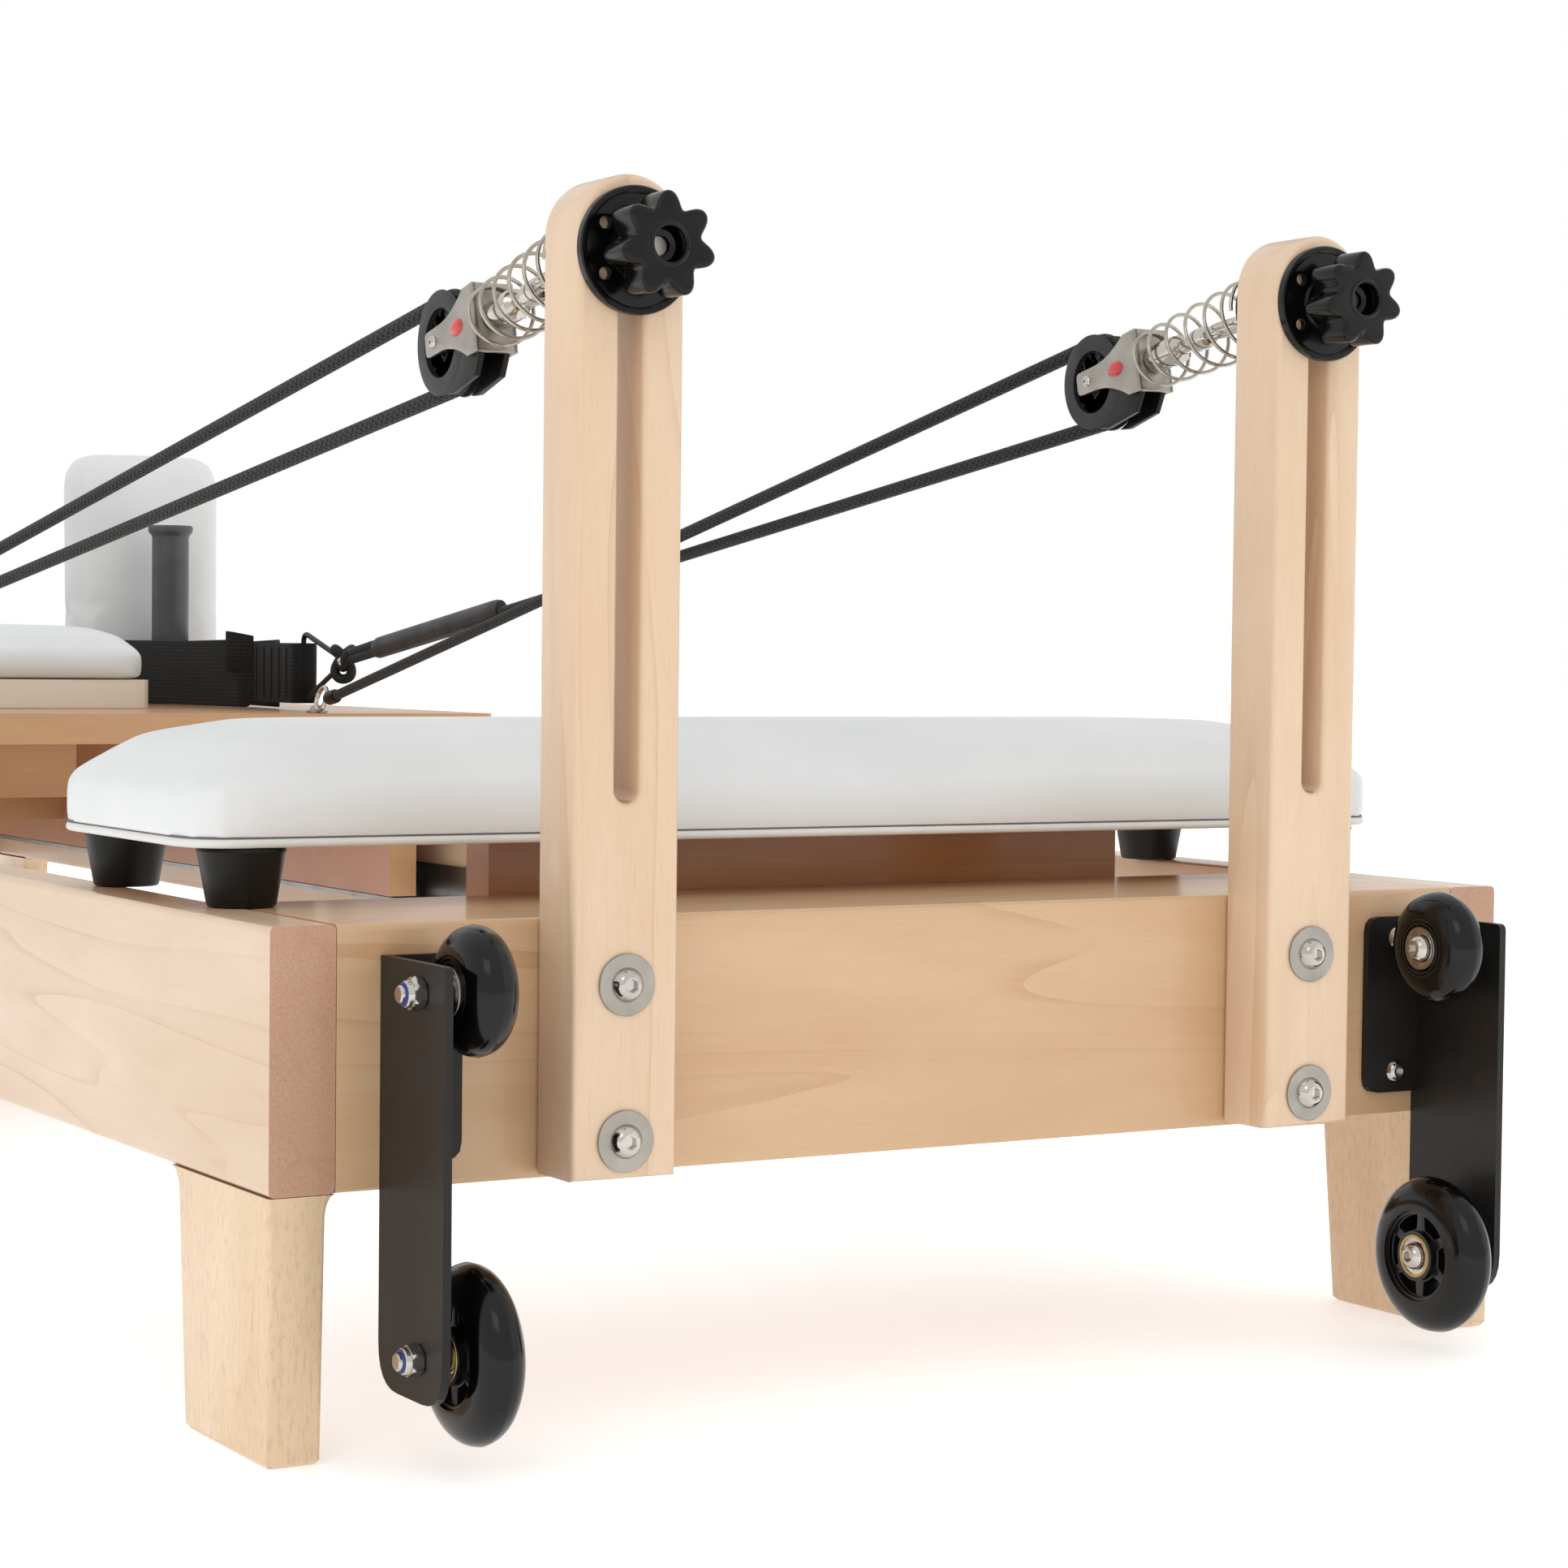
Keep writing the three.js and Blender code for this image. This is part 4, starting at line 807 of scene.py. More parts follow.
def flange(name, carrier, front):
    # a drilled disc with a raised rim and a low boss
    look = flangeLook
    holes = [circle(look["screwHole"], (look["screwCircle"] * math.cos(a), look["screwCircle"] * math.sin(a)), 20)
        for a in np.radians(look["screwAngles"])]
    disc = plateShape(circle(look["radius"], count=72), holes, look["thick"], look["ease"], front)
    rim = turnedShape([(0.0252, 0), (0.0280, 0), (0.0285, 0.0006), (0.0285, 0.0042), (0.0279, 0.0050),
        (0.0262, 0.0050), (0.0252, 0.0040)], front, 96)
    boss = turnedShape([(0.0055, 0.0030), (0.0140, 0.0030), (0.0128, 0.0050), (0.0055, 0.0050)], front, 64)
    gathered(f"flange_{name}", [disc, rim, boss], glossPlastic, carrier, [f"pulley_mount_{name}"])


def studAndSeat(name, carrier, front, seatPlace):
    stud = turnedShape([(0, 0.0003 - 0.045), (0.005, 0.0003 - 0.045), (0.005, 0.022), (0.0042, 0.0228),
        (0, 0.0228)], front, 32)
    seat = turnedShape([(0.004, 0.0003), (0.0225, 0.0003), (0.023, 0.0008), (0.023, 0.0036), (0.020, 0.0053),
        (0.004, 0.0053)], seatPlace, 64)
    gathered(f"stud_{name}", [stud], satinSteel, carrier)
    gathered(f"spring_seat_{name}", [seat], satinPlastic, carrier)


shackleLook = {"wire": 0.0022, "eye": (0.0085, 0.0115), "eyeBack": 0.008, "link": (0.0068, 0.0155),
    "linkBack": 0.032}


def shackle(name, carrier, line, bridge):
    # two wire ovals at right angles, each a cosine and a sine of its half sizes, and a turned swivel behind them
    look = shackleLook
    t = np.linspace(0, 2 * np.pi, 40, endpoint=False)
    eye = np.stack([0 * t, look["eye"][0] * np.sin(t), look["eyeBack"] + look["eye"][1] * np.cos(t)], -1)
    link = np.stack([look["link"][0] * np.cos(t), 0 * t, look["linkBack"] + look["link"][1] * np.sin(t)], -1)
    swivel = [(0, 0.046), (0.0045, 0.046), (0.0060, 0.049), (0.0060, 0.058), (0.0040, 0.060),
        (0.0040, bridge - 0.026), (0.0072, bridge - 0.024), (0.0078, bridge - 0.020),
        (0.0078, bridge - 0.006), (0.0068, bridge - 0.0003), (0.0040, bridge - 0.0003),
        (0.0040, bridge + 0.003), (0.0062, bridge + 0.0032), (0.0058, bridge + 0.0070), (0, bridge + 0.0074)]
    shapes = [sweepShape(moved(oval, line), look["wire"], 12, True) for oval in (eye, link)]
    shapes.append(turnedShape(swivel, line, 40))
    gathered(f"swivel_shackle_{name}", shapes, polishedSteel, carrier)


coneLook = {"wire": 0.0010, "turns": 6.5, "wide": 0.0200, "narrows": 0.0052, "first": 0.0030, "last": 0.0016,
    "closed": 0.055, "even": 0.75}


def conicalSpring(name, carrier, line, bridge):
    # its radius shrinks evenly, and its pitch closes up at both ends: the rise is part even, part 3q^2 - 2q^3
    look = coneLook
    turns = look["turns"]
    s = np.linspace(0, 1, int(turns * 40))
    lift = np.clip((s - look["closed"]) / 0.89, 0, 1)
    lift = look["even"] * lift + (1 - look["even"]) * (3 * lift ** 2 - 2 * lift ** 3)
    first, last = look["first"], bridge - look["last"]
    reach = look["wide"] - look["narrows"] * s
    helix = np.stack([reach * np.cos(2 * np.pi * turns * s), reach * np.sin(2 * np.pi * turns * s),
        first + (last - first) * lift], -1)
    spring = sweep(f"conical_spring_{name}", moved(helix, line), look["wire"], springSteel, carrier,
        [f"pulley_spring_{name}"], 10)


blockLook = {"cheek": 0.0024, "gapInside": 0.0086, "tail": 0.0062, "waist": 0.0066, "flare": 0.0100,
    "nose": 0.0085, "pin": 0.003, "pinHalf": 0.0112}
inlayLook = {"long": 0.0068, "tall": 0.0042, "crown": 0.0014, "back": 0.020}
across = Vector((1, 0, 0))


def pulleyBlock(name, carrier, axle, pivot, along, rising, bridge, blockBack):
    # two waisted cheeks on a bridge; the cheek's half height falls by the square of the way along
    look = blockLook
    s = np.linspace(0, 1, 12)
    start, end = bridge + 0.011, blockBack - 0.006
    upperEdge = np.stack([start + (end - start) * s, look["waist"] + look["flare"] * (1 - s) ** 2], -1)
    nose = blockBack + look["nose"]
    tip = np.array([[nose, look["tail"]], [nose, -look["tail"]]])
    cheek = np.concatenate([[[bridge, 0.0170]], upperEdge, tip, upperEdge[::-1] * [1, -1], [[bridge, -0.0170]]])
    radii = np.full(len(cheek), 0.0003)
    radii[[len(upperEdge) + 1, len(upperEdge) + 2]] = 0.003
    cheek = rounded(cheek, radii, 3)
    shapes = []
    for out in (look["gapInside"], -look["gapInside"] - look["cheek"]):
        shapes.append(plateShape(cheek, [], look["cheek"], 0.0004, axes(pivot + across * out, along, rising, across)))
    bridgeOutline = rounded([[-0.011, -0.017], [0.011, -0.017], [0.011, 0.017], [-0.011, 0.017]], 0.0015, 3)
    shapes.append(plateShape(bridgeOutline, [circle(0.0044, count=24)], 0.0025, 0.0005,
        facing(pivot + along * bridge, along, rising)))
    pin = squareRing(0, look["pin"], -look["pinHalf"], look["pinHalf"])
    shapes.append(turnedShape(pin, facing(axle, (1, 0, 0)), 24))
    gathered(f"block_strap_{name}", shapes, satinSteel, carrier, [f"pulley_block_{name}"], 30)

    # a screw and an oval red inlay on each cheek; the inlay's dome is a quarter circle from crown to edge
    screws, inlays = [], []
    angle = np.linspace(0, 2 * np.pi, 48, endpoint=False)
    oval = np.stack([inlayLook["long"] * np.cos(angle), inlayLook["tall"] * np.sin(angle)], -1)
    for s2 in (1, -1):
        screws.append(buttonHead(facing(axle + across * (s2 * 0.0110), (s2, 0, 0)), 0.0034, 0.0016, 0.0009, 0.0009))
        spot = pivot + along * (bridge + inlayLook["back"]) + across * (s2 * 0.0109)
        dome = np.concatenate([np.concatenate([oval * p,
            np.full((48, 1), inlayLook["crown"] * math.sqrt(max(0.0, 1 - p * p)) + 0.0002)], 1)
            for p in np.linspace(0, 1, 7)])
        base = np.concatenate([oval, np.full((48, 1), -0.0004)], 1)
        points = np.concatenate([dome, base, base * [0, 0, 1]])
        inlays.append((moved(points, axes(spot, along, rising * s2, across * s2)), gridFaces(9, 48)))
    gathered(f"axle_screws_{name}", screws, polishedSteel, carrier)
    gathered(f"red_inlays_{name}", inlays, redEnamel, carrier)


guardLook = {"radius": 0.0272, "from": 196, "to": 262, "thick": 0.0030, "apart": 0.0134, "left": 0.0082}


def ropeGuard(name, carrier, pivot, along, rising, bridge, blockBack):
    look = guardLook
    outline = np.concatenate([circle(look["radius"], (blockBack, 0), 12, math.radians(look["from"]),
        math.radians(look["to"])), [[blockBack - 0.012, -0.0285], [bridge + 0.010, -0.0262],
        [bridge + 0.0028, -0.0165], [bridge + 0.0028, -0.006]]])
    place = axes(pivot - across * look["left"], along, rising, across)
    plates = [plateShape(outline, [], look["thick"], 0.0004, Matrix.Translation(across * shift) @ place)
        for shift in (0, look["apart"])]
    gathered(f"rope_guard_{name}", plates, satinPlastic, carrier)


sheaveLook = {"rim": 0.0255, "groove": 0.0075, "half": 0.0062, "spokes": 4}


def sheave(name, axle):
    # the groove's depth is a sine, a little flattened, across the rim; four windows leave four spokes
    look = sheaveLook
    wheel = f"pulley_sheave_{name}"
    q = np.linspace(0, np.pi, 17)
    groove = list(zip(look["rim"] - look["groove"] * np.sin(q) ** 0.8, look["half"] * np.cos(q)))
    rim = [(0.0170, 0.0072), (0.0245, 0.0075), (0.0258, 0.0070), *groove, (0.0258, -0.0070), (0.0245, -0.0075),
        (0.0170, -0.0072)]
    windows = []
    for i in range(look["spokes"]):
        a = math.radians(45 + 360 / look["spokes"] * i)
        windows.append(rounded(np.concatenate([circle(0.0070, count=6, start=a - 0.42, end=a + 0.42),
            circle(0.0166, count=10, start=a + 0.60, end=a - 0.60)]), 0.0008, 2))
    spokes = plateShape(circle(0.0174, count=64), [circle(0.0035, count=24), *windows], 0.0090, 0.0006,
        facing(axle - across * 0.0045, (1, 0, 0)))
    gathered(f"grooved_wheel_{name}", [turnedShape(rim, facing(axle, (1, 0, 0)), 96), spokes], greyPlastic,
        wheel, [wheel])


knobLook = {"lobes": 7, "reach": 0.0235, "valley": 0.0024, "sharpen": 0.0010, "thick": 0.020, "ease": 0.0022,
    "bore": 0.0084, "front": 0.034, "thread": 0.0006, "threadTurns": 12}


def knob(name, postX, frontY, studZ):
    # lobes: the reach follows w, the cosine of the lobe count times the angle, less valley (1 - w) and
    # sharpen (1 - w)^2 / 2
    look = knobLook
    body = f"height_knob_{name}"
    angle = np.linspace(0, 2 * np.pi, 168, endpoint=False)
    wave = np.cos(look["lobes"] * angle)
    reach = look["reach"] - look["valley"] * (1 - wave) - look["sharpen"] * (1 - wave) ** 2 / 2
    star = np.stack([reach * np.sin(angle), reach * np.cos(angle)], -1)[::-1]
    place = facing((postX, frontY - look["front"] + look["thick"], studZ), (0, -1, 0))
    lobed = plateShape(star, [circle(look["bore"], count=40)], look["thick"], look["ease"], place, 4)
    lip = turnedShape([(0.0080, 0.0196), (0.0092, 0.0196), (0.0100, 0.0200), (0.0092, 0.0205), (0.0080, 0.0202)],
        place, 64)
    ridges = 2 * look["threadTurns"]
    thread = 0.0052 + look["thread"] * np.cos(np.arange(0, ridges + 1) * np.pi)
    insert = turnedShape([(0.0056, 0.0040), (0.0086, 0.0040), (0.0086, 0.0112), (0.0070, 0.0118),
        *[(r, 0.0112 - 0.0070 * i / ridges) for i, r in enumerate(thread)]], place, 40)
    hub = turnedShape([(0.0056, -0.0080), (0.0120, -0.0080), (0.0128, 0.0030), (0.0056, 0.0030)], place, 64)
    gathered(f"lobed_knob_{name}", [lobed, lip, insert, hub], glossPlastic, body, [body])


droop = math.radians(pulleyLook["droop"])
along = Vector((0, math.cos(droop), -math.sin(droop)))
rising = Vector((0, math.sin(droop), math.cos(droop)))
for name, side in sides:
    carrier = f"pulley_carrier_{name}"
    axle = middle(f"pulley_sheave_{name}")
    postX = axle.x
    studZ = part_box(f"pulley_mount_{name}")[1].z - pulleyLook["stud"]
    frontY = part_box(f"riser_post_{name}")[0].y
    pivot = Vector((postX, headY + pulleyLook["pivot"], studZ))
    line = facing(pivot, along)
    blockBack = (axle - pivot).dot(along)
    bridge = blockBack - pulleyLook["blockLength"]
    front = facing((postX, frontY - 0.0003, studZ), (0, -1, 0))
    flange(name, carrier, front)
    studAndSeat(name, carrier, front, facing((postX, headY, studZ), (0, 1, 0)))
    shackle(name, carrier, line, bridge)
    conicalSpring(name, carrier, line, bridge)
    pulleyBlock(name, carrier, axle, pivot, along, rising, bridge, blockBack)
    ropeGuard(name, carrier, pivot, along, rising, bridge, blockBack)
    sheave(name, axle)
    knob(name, postX, frontY, studZ)
print("pulleys made")


# Standing platform
platformLook = {"skirt": 0.0064, "piping": 0.0022, "line": 0.0005, "corner": 0.030, "pipingInset": 0.0020,
    "lineInset": 0.0014, "footEase": 0.0010}
padLow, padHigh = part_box("platform_pad")


def padOutline(low, high, inset, corner, z, steps=10):
    # the pad's plan outline at one height, drawn in by inset
    a, b = low.x + inset, high.x - inset
    c, d = low.y + inset, high.y - inset
    flat = rounded([[a, c], [b, c], [b, d], [a, d]], corner, steps)
    dense = []
    for p, q in zip(flat, np.roll(flat, -1, 0)):
        count = max(1, int(np.linalg.norm(q - p) / 0.02))
        dense.append(p + (q - p) * (np.arange(count) / count)[:, None])
    dense = np.concatenate(dense)
    return np.concatenate([dense, np.full((len(dense), 1), z)], 1)


under = padLow.z - platformLook["skirt"]
welt = sweep("platform_piping", padOutline(padLow, padHigh, platformLook["pipingInset"], platformLook["corner"],
    under + platformLook["piping"]), platformLook["piping"], whitePiping, "platform", sides=14, loop=True)
# painted shadow: a thin dark line along the top of the piping, where the gap between the piping and the pad's wall is
# in shade
sweep("platform_piping_painted_shadow_line", padOutline(padLow, padHigh, platformLook["lineInset"], platformLook["corner"],
    under + 2 * platformLook["piping"] + 0.0003), platformLook["line"], seamShadow, "platform", sides=8, loop=True)
for name, side in sides:
    for end in ("head", "foot"):
        node = f"platform_foot_{end}_{name}"
        low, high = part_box(node)
        centre = (low + high) / 2
        tall = high.z - low.z
        big = (high.x - low.x) / 2
        ease = platformLook["footEase"]
        profile = [(0, 0), (0.0150, 0), (0.0158, 0.0004), (0.0162, ease), (big - 0.0006, tall - 0.0030),
            (big, tall - 0.0016), (big - 0.0004, tall), (0, tall)]
        foot = turned(f"cone_foot_{end}_{name}", profile, facing((centre.x, centre.y, low.z), (0, 0, 1), (0, 1, 0)),
            satinPlastic, "platform", [node], 72)


# Cushions
# Each starts a little inside its solid, is remeshed evenly, swells under pressure with its base held, and
# no point moves further than the cap.
cushionLook = {
    "platform_cushion": {"node": "platform_pad", "body": "platform", "voxel": 0.005, "cap": 0.0030,
        "shrink": 0.0, "pinned": 0.020, "down": 0.0058, "fill": 0.95, "smooth": 1},
    "headrest_cushion": {"node": "headrest_pad", "body": "headrest", "voxel": 0.0055, "cap": 0.0060,
        "shrink": 0.0004, "pinned": 0.010, "down": 0.0, "fill": 0.9, "smooth": 2},
    "carriage_cushion": {"node": "carriage_pad", "body": "carriage", "voxel": 0.008, "cap": 0.0070,
        "shrink": 0.0010, "pinned": 0.012, "down": 0.0, "fill": 0.9, "smooth": 2},
    "shoulder_cushion_left": {"node": "shoulder_rest_left", "body": "carriage", "voxel": 0.0055, "cap": 0.0050,
        "shrink": 0.0008, "pinned": 0.008, "down": 0.0, "fill": 0.95, "smooth": 2},
    "shoulder_cushion_right": {"node": "shoulder_rest_right", "body": "carriage", "voxel": 0.0055, "cap": 0.0050,
        "shrink": 0.0008, "pinned": 0.008, "down": 0.0, "fill": 0.95, "smooth": 2}}

clothFrames = 20
clothLook = {"quality": 4, "mass": 0.3, "tension_stiffness": 18, "compression_stiffness": 18, "shear_stiffness": 8,
    "bending_stiffness": 4, "use_pressure": True, "uniform_pressure_force": 4, "vertex_group_mass": "held"}


def bakedMesh(piece):
    shape = piece.evaluated_get(bpy.context.evaluated_depsgraph_get())
    return bpy.data.meshes.new_from_object(shape)


def positions(mesh):
    flat = np.zeros(len(mesh.vertices) * 3)
    mesh.vertices.foreach_get("co", flat)
    return flat.reshape(-1, 3)


cushions = {}
for name, look in cushionLook.items():
    mesh = nodes[look["node"]].data.copy()
    points = positions(mesh)
    low, high = points.min(0), points.max(0)
    centre = (low + high) / 2
    share = 1 - 2 * look["shrink"] / (high - low)
    points = centre + (points - centre) * share
    # the base goes down over the edge of the board below: points in the lowest tenth move by the skirt's depth
    points[points[:, 2] < low[2] + 0.1 * (high[2] - low[2]), 2] -= look["down"]
    mesh.vertices.foreach_set("co", points.ravel())
    piece = bpy.data.objects.new(name, mesh)
    scene.collection.objects.link(piece)
    remesh = piece.modifiers.new("remesh", "REMESH")
    remesh.mode = "VOXEL"
    remesh.voxel_size = look["voxel"]
    smooth = piece.modifiers.new("smooth", "SMOOTH")
    smooth.factor, smooth.iterations = 0.5, look["smooth"]
    piece.data = bakedMesh(piece)
    piece.modifiers.clear()
    rest = positions(piece.data)
    base = rest[:, 2].min()
    held = piece.vertex_groups.new(name="held")
    held.add(np.nonzero(rest[:, 2] < base + look["pinned"])[0].tolist(), 1.0, "REPLACE")
    cloth = piece.modifiers.new("cloth", "CLOTH")
    for key, value in clothLook.items():
        setattr(cloth.settings, key, value)
    cloth.settings.effector_weights.gravity = 0
    cloth.point_cache.frame_start, cloth.point_cache.frame_end = 1, clothFrames
    cushions[name] = (piece, rest)

scene.frame_start, scene.frame_end = 1, clothFrames
for step in range(1, clothFrames + 1):
    scene.frame_set(step)
for name, (piece, rest) in cushions.items():
    look = cushionLook[name]
    swollen = bakedMesh(piece)
    move = positions(swollen) - rest
    reach = np.linalg.norm(move, axis=1)[:, None]
    # a point's move is scaled by cap / (cap + reach), so it nears the cap without a sudden stop
    move = move * look["cap"] / (look["cap"] + reach)
    piece.modifiers.clear()
    piece.vertex_groups.clear()
    swollen.vertices.foreach_set("co", (rest + move).ravel())
    piece.data = swollen
    divide = piece.modifiers.new("divide", "SUBSURF")
    divide.levels = divide.render_levels = 1
    piece.data = bakedMesh(piece)
    piece.modifiers.clear()
    piece.data.materials.clear()
    piece.data.materials.append(whiteVinyl)
    piece.data.shade_smooth()
    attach(piece, look["body"])
    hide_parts(look["node"])
scene.frame_set(1)
print("cushions made")


# Rope posts and loop straps
strapLook = {"loop": 0.0398, "thick": 0.0032, "tall": 0.058, "narrowTall": 0.050, "under": 0.0014, "nose": 0.0860,
    "fold": 0.176, "stitches": 5, "stitchStep": 0.016, "wire": 0.0022, "knot": 0.0048, "cord": 0.0040}


def bandShape(path, lows, highs, thick):
    # a closed band: at each point a rounded rectangle, thick across and from low to high
    path = np.asarray(path, float)
    ahead = np.roll(path, -1, 0) - np.roll(path, 1, 0)
    ahead /= np.linalg.norm(ahead, axis=1)[:, None]
    across = np.stack([ahead[:, 1], -ahead[:, 0]], -1)
    h = thick / 2
    section = [(-h, 0.0009), (-h * 0.5, 0), (h * 0.5, 0), (h, 0.0009)]
    lows, highs = (np.broadcast_to(np.asarray(v, float), (len(path),)) for v in (lows, highs))
    ring = []
    for offset, rise in section:
        ring.append(np.concatenate([path + across * offset, (lows + rise)[:, None]], 1))
    for offset, rise in section[::-1]:
        ring.append(np.concatenate([path + across * offset, (highs - rise)[:, None]], 1))
    grid = np.stack(ring, 1)
    return grid.reshape(-1, 3), gridFaces(len(path), len(ring), True, True)


def spaced(points, step):
    # a closed outline with points no further apart than step
    points = np.asarray(points, float)
    out = []
    for p, q in zip(points, np.roll(points, -1, 0)):
        count = max(1, int(np.linalg.norm(q - p) / step))
        out.append(p + (q - p) * (np.arange(count) / count)[:, None])
    return np.concatenate(out)


postTop = {"radius": 0.0165, "lip": 0.0200}


def ropePost(name, low, high):
    x, y = (low.x + high.x) / 2, (low.y + high.y) / 2
    tall, r, lip = high.z - low.z, postTop["radius"], postTop["lip"]
    profile = [(0, 0), (0.0160, 0), (r, 0.0005), (r, tall - 0.0110), (0.0172, tall - 0.0088),
        (0.0192, tall - 0.0066), (lip, tall - 0.0050), (lip, tall - 0.0012), (0.0188, tall), (0.0060, tall),
        (0.0050, tall - 0.0012), (0, tall - 0.0012)]
    post = turned(f"turned_rope_post_{name}", profile, facing((x, y, low.z), (0, 0, 1), (0, 1, 0)), darkAnodised,
        "carriage", [f"rope_post_{name}"], 96)
    return x, y


def loopStrap(name, x, y, bottom, noseY, foldY):
    # an open loop round the post, drawn together at the fold and round the wire ring's upright at the nose
    look = strapLook
    arc = circle(look["loop"] + look["thick"] / 2, (x, y), 40, 0, math.pi)
    legs = [[x - 0.0170, foldY + 0.012], [x - 0.0070, foldY - 0.012], [x - 0.0062, noseY + 0.012],
        [x, noseY + 0.006], [x + 0.0062, noseY + 0.012], [x + 0.0070, foldY - 0.012], [x + 0.0170, foldY + 0.012]]
    path = spaced(np.concatenate([arc, legs]), 0.006)
    # the webbing is folded narrower in front of the fold: its height changes over 6 mm
    part = np.clip((path[:, 1] - foldY + 0.003) / 0.006, 0, 1)
    lows = bottom + 0.0055 * (1 - part)
    highs = bottom + look["tall"] - 0.0045 * (1 - part) - 0.002 * np.clip((path[:, 1] - foldY) / 0.1, 0, 1)
    shapes = [bandShape(path, lows, highs, look["thick"])]
    wrap = spaced(rounded([[x - 0.0102, foldY], [x - 0.0098, noseY], [x + 0.0098, noseY], [x + 0.0102, foldY]],
        [0.004, 0.008, 0.008, 0.004], 6), 0.006)
    shapes.append(bandShape(wrap, bottom + 0.0050, bottom + 0.0050 + look["narrowTall"], 0.0030))
    flap = spaced(rounded([[x - 0.0250, foldY + 0.026], [x - 0.0128, foldY - 0.002], [x - 0.0116, foldY - 0.002],
        [x - 0.0232, foldY + 0.026]], 0.0005, 2), 0.006)
    slope = np.clip((flap[:, 1] - foldY + 0.004) / 0.028, 0, 1)
    shapes.append(bandShape(flap, bottom + 0.030, bottom + look["tall"] + 0.0065 - 0.004 * (1 - slope), 0.0012))
    strap = gathered(f"webbing_loop_{name}", shapes, webbing, "carriage", [f"loop_strap_{name}"], 40)
    stitches = []
    for s2 in (-1, 1):
        for k in range(look["stitches"]):
            sy = noseY + look["stitchStep"] * (k + 1)
            xs = x + s2 * (0.0118 + 0.0004 * (sy - noseY) / 0.09)
            line = straight([xs, sy, bottom + 0.0085], [xs, sy, bottom + 0.0515], 0.004)
            stitches.append(sweepShape(line, 0.0007, 6))
    gathered(f"webbing_stitches_{name}", stitches, strapThread, "carriage")


def wireRing(name, x, noseY):
    # a rounded triangle of wire: its upright in the webbing's nose, its point at the knot
    ringY, apexY = noseY + 0.0065, carriageY + 0.0060
    corners = [[ringY, boardTop + 0.0075], [ringY, boardTop + 0.0655], [apexY, boardTop + 0.0420]]
    loop = spaced(rounded(corners, [0.007, 0.010, 0.006], 8), 0.004)
    path = np.concatenate([np.full((len(loop), 1), x), loop], 1)
    sweep(f"wire_ring_{name}", path, strapLook["wire"], powderCoat, "carriage", sides=14, loop=True)


def ropeKnot(name, end):
    # a trefoil: x = sin t + 2 sin 2t and z = cos t - 2 cos 2t, three lobes round its middle
    t = np.linspace(0, 2 * np.pi, 96, endpoint=False)
    size = strapLook["knot"]
    path = np.stack([end[0] - 0.0045 * np.sin(3 * t), end[1] + 0.002 - size * (np.sin(t) + 2 * np.sin(2 * t)),
        end[2] + size * (np.cos(t) - 2 * np.cos(2 * t))], -1)
    sweep(f"rope_knot_{name}", path, strapLook["cord"], plainRope, "carriage", sides=14, loop=True)
    rivet = [(0, 0.002), (0.0032, 0.002), (0.0036, 0.0030), (0.0036, 0.0088), (0.0030, 0.0102), (0.0016, 0.0109),
        (0, 0.0111)]
    turned(f"knot_rivet_{name}", rivet, facing((end[0], end[1] - 0.003, end[2]), (-0.75, -0.66, 0)), polishedSteel,
        "carriage", segments=32)


def snapRing(name, side, end):
    # a ring at the rope's end, on the right standing on an eye plate, and the whipping behind it
    t = np.linspace(0, 2 * np.pi, 48, endpoint=False)
    hook = end + [0, 0.0160, -0.0004]
    snap = np.stack([hook[0] + 0.0025 * np.sin(t), hook[1] + 0.0088 * np.cos(t), hook[2] + 0.0092 * np.sin(t)], -1)
    sweep(f"snap_ring_{name}", snap, 0.0019, polishedSteel, "carriage", sides=14, loop=True)
    if side > 0:
        spot = (end[0], carriageY + 0.0170, boardTop + 0.0002)
        eye = [washerShape(facing(spot, (0, 0, 1), (0, 1, 0)), 0.0085, 0.0020, 0.0018),
            buttonHead(facing(Vector(spot) + Vector((0, 0, 0.0016)), (0, 0, 1), (0, 1, 0)), 0.0062, 0.0042, 0.0022)]
        gathered(f"ring_eye_{name}", eye, satinSteel, "carriage")
    towards = np.array(middle(f"pulley_sheave_{name}")) - end
    towards /= np.linalg.norm(towards)
    collar = straight(end + [0, 0.003, 0], end + towards * 0.0150, 0.003)
    sweep(f"rope_whipping_{name}", collar, [0.0046] + [0.0058] * (len(collar) - 2) + [0.0048], satinPlastic,
        "carriage", sides=20)


for name, side in sides:
    ringEnd, loopEnd = ropeEnds[name]
    x, y = ropePost(name, *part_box(f"rope_post_{name}"))
    noseY, foldY = carriageY + strapLook["nose"], carriageY + strapLook["fold"]
    loopStrap(name, x, y, boardTop + strapLook["under"], noseY, foldY)
    wireRing(name, x, noseY)
    ropeKnot(name, loopEnd)
    snapRing(name, side, ringEnd)
print("straps made")


# Carriage rollers and springs
rollerLook = {"tread": 0.0180, "half": 0.0070, "hub": 0.0105}
for name, side in sides:
    for end in ("head", "foot"):
        node = f"roller_{end}_{name}"
        centre = middle(node)
        h = rollerLook["half"]
        place = facing(centre, (side, 0, 0))
        tyre = turned(f"roller_tyre_{end}_{name}", [(rollerLook["hub"], -h), (0.0165, -h), (0.0176, 0.0012 - h),
            (rollerLook["tread"], 0.0028 - h), (rollerLook["tread"], h - 0.0028), (0.0176, h - 0.0012), (0.0165, h),
            (rollerLook["hub"], h)], place, rubber, node, [node], 72)
        # outer race, inner race and the recessed shield between them: inner radius, outer radius, recess
        rings = [turnedShape(squareRing(a, b, recess - h, h - recess), place) for a, b, recess in
            ((0.0080, 0.0105, 0.0006), (0.0046, 0.0060, 0.0004), (0.0060, 0.0080, 0.0012))]
        gathered(f"roller_bearing_{end}_{name}", rings, satinSteel, node)

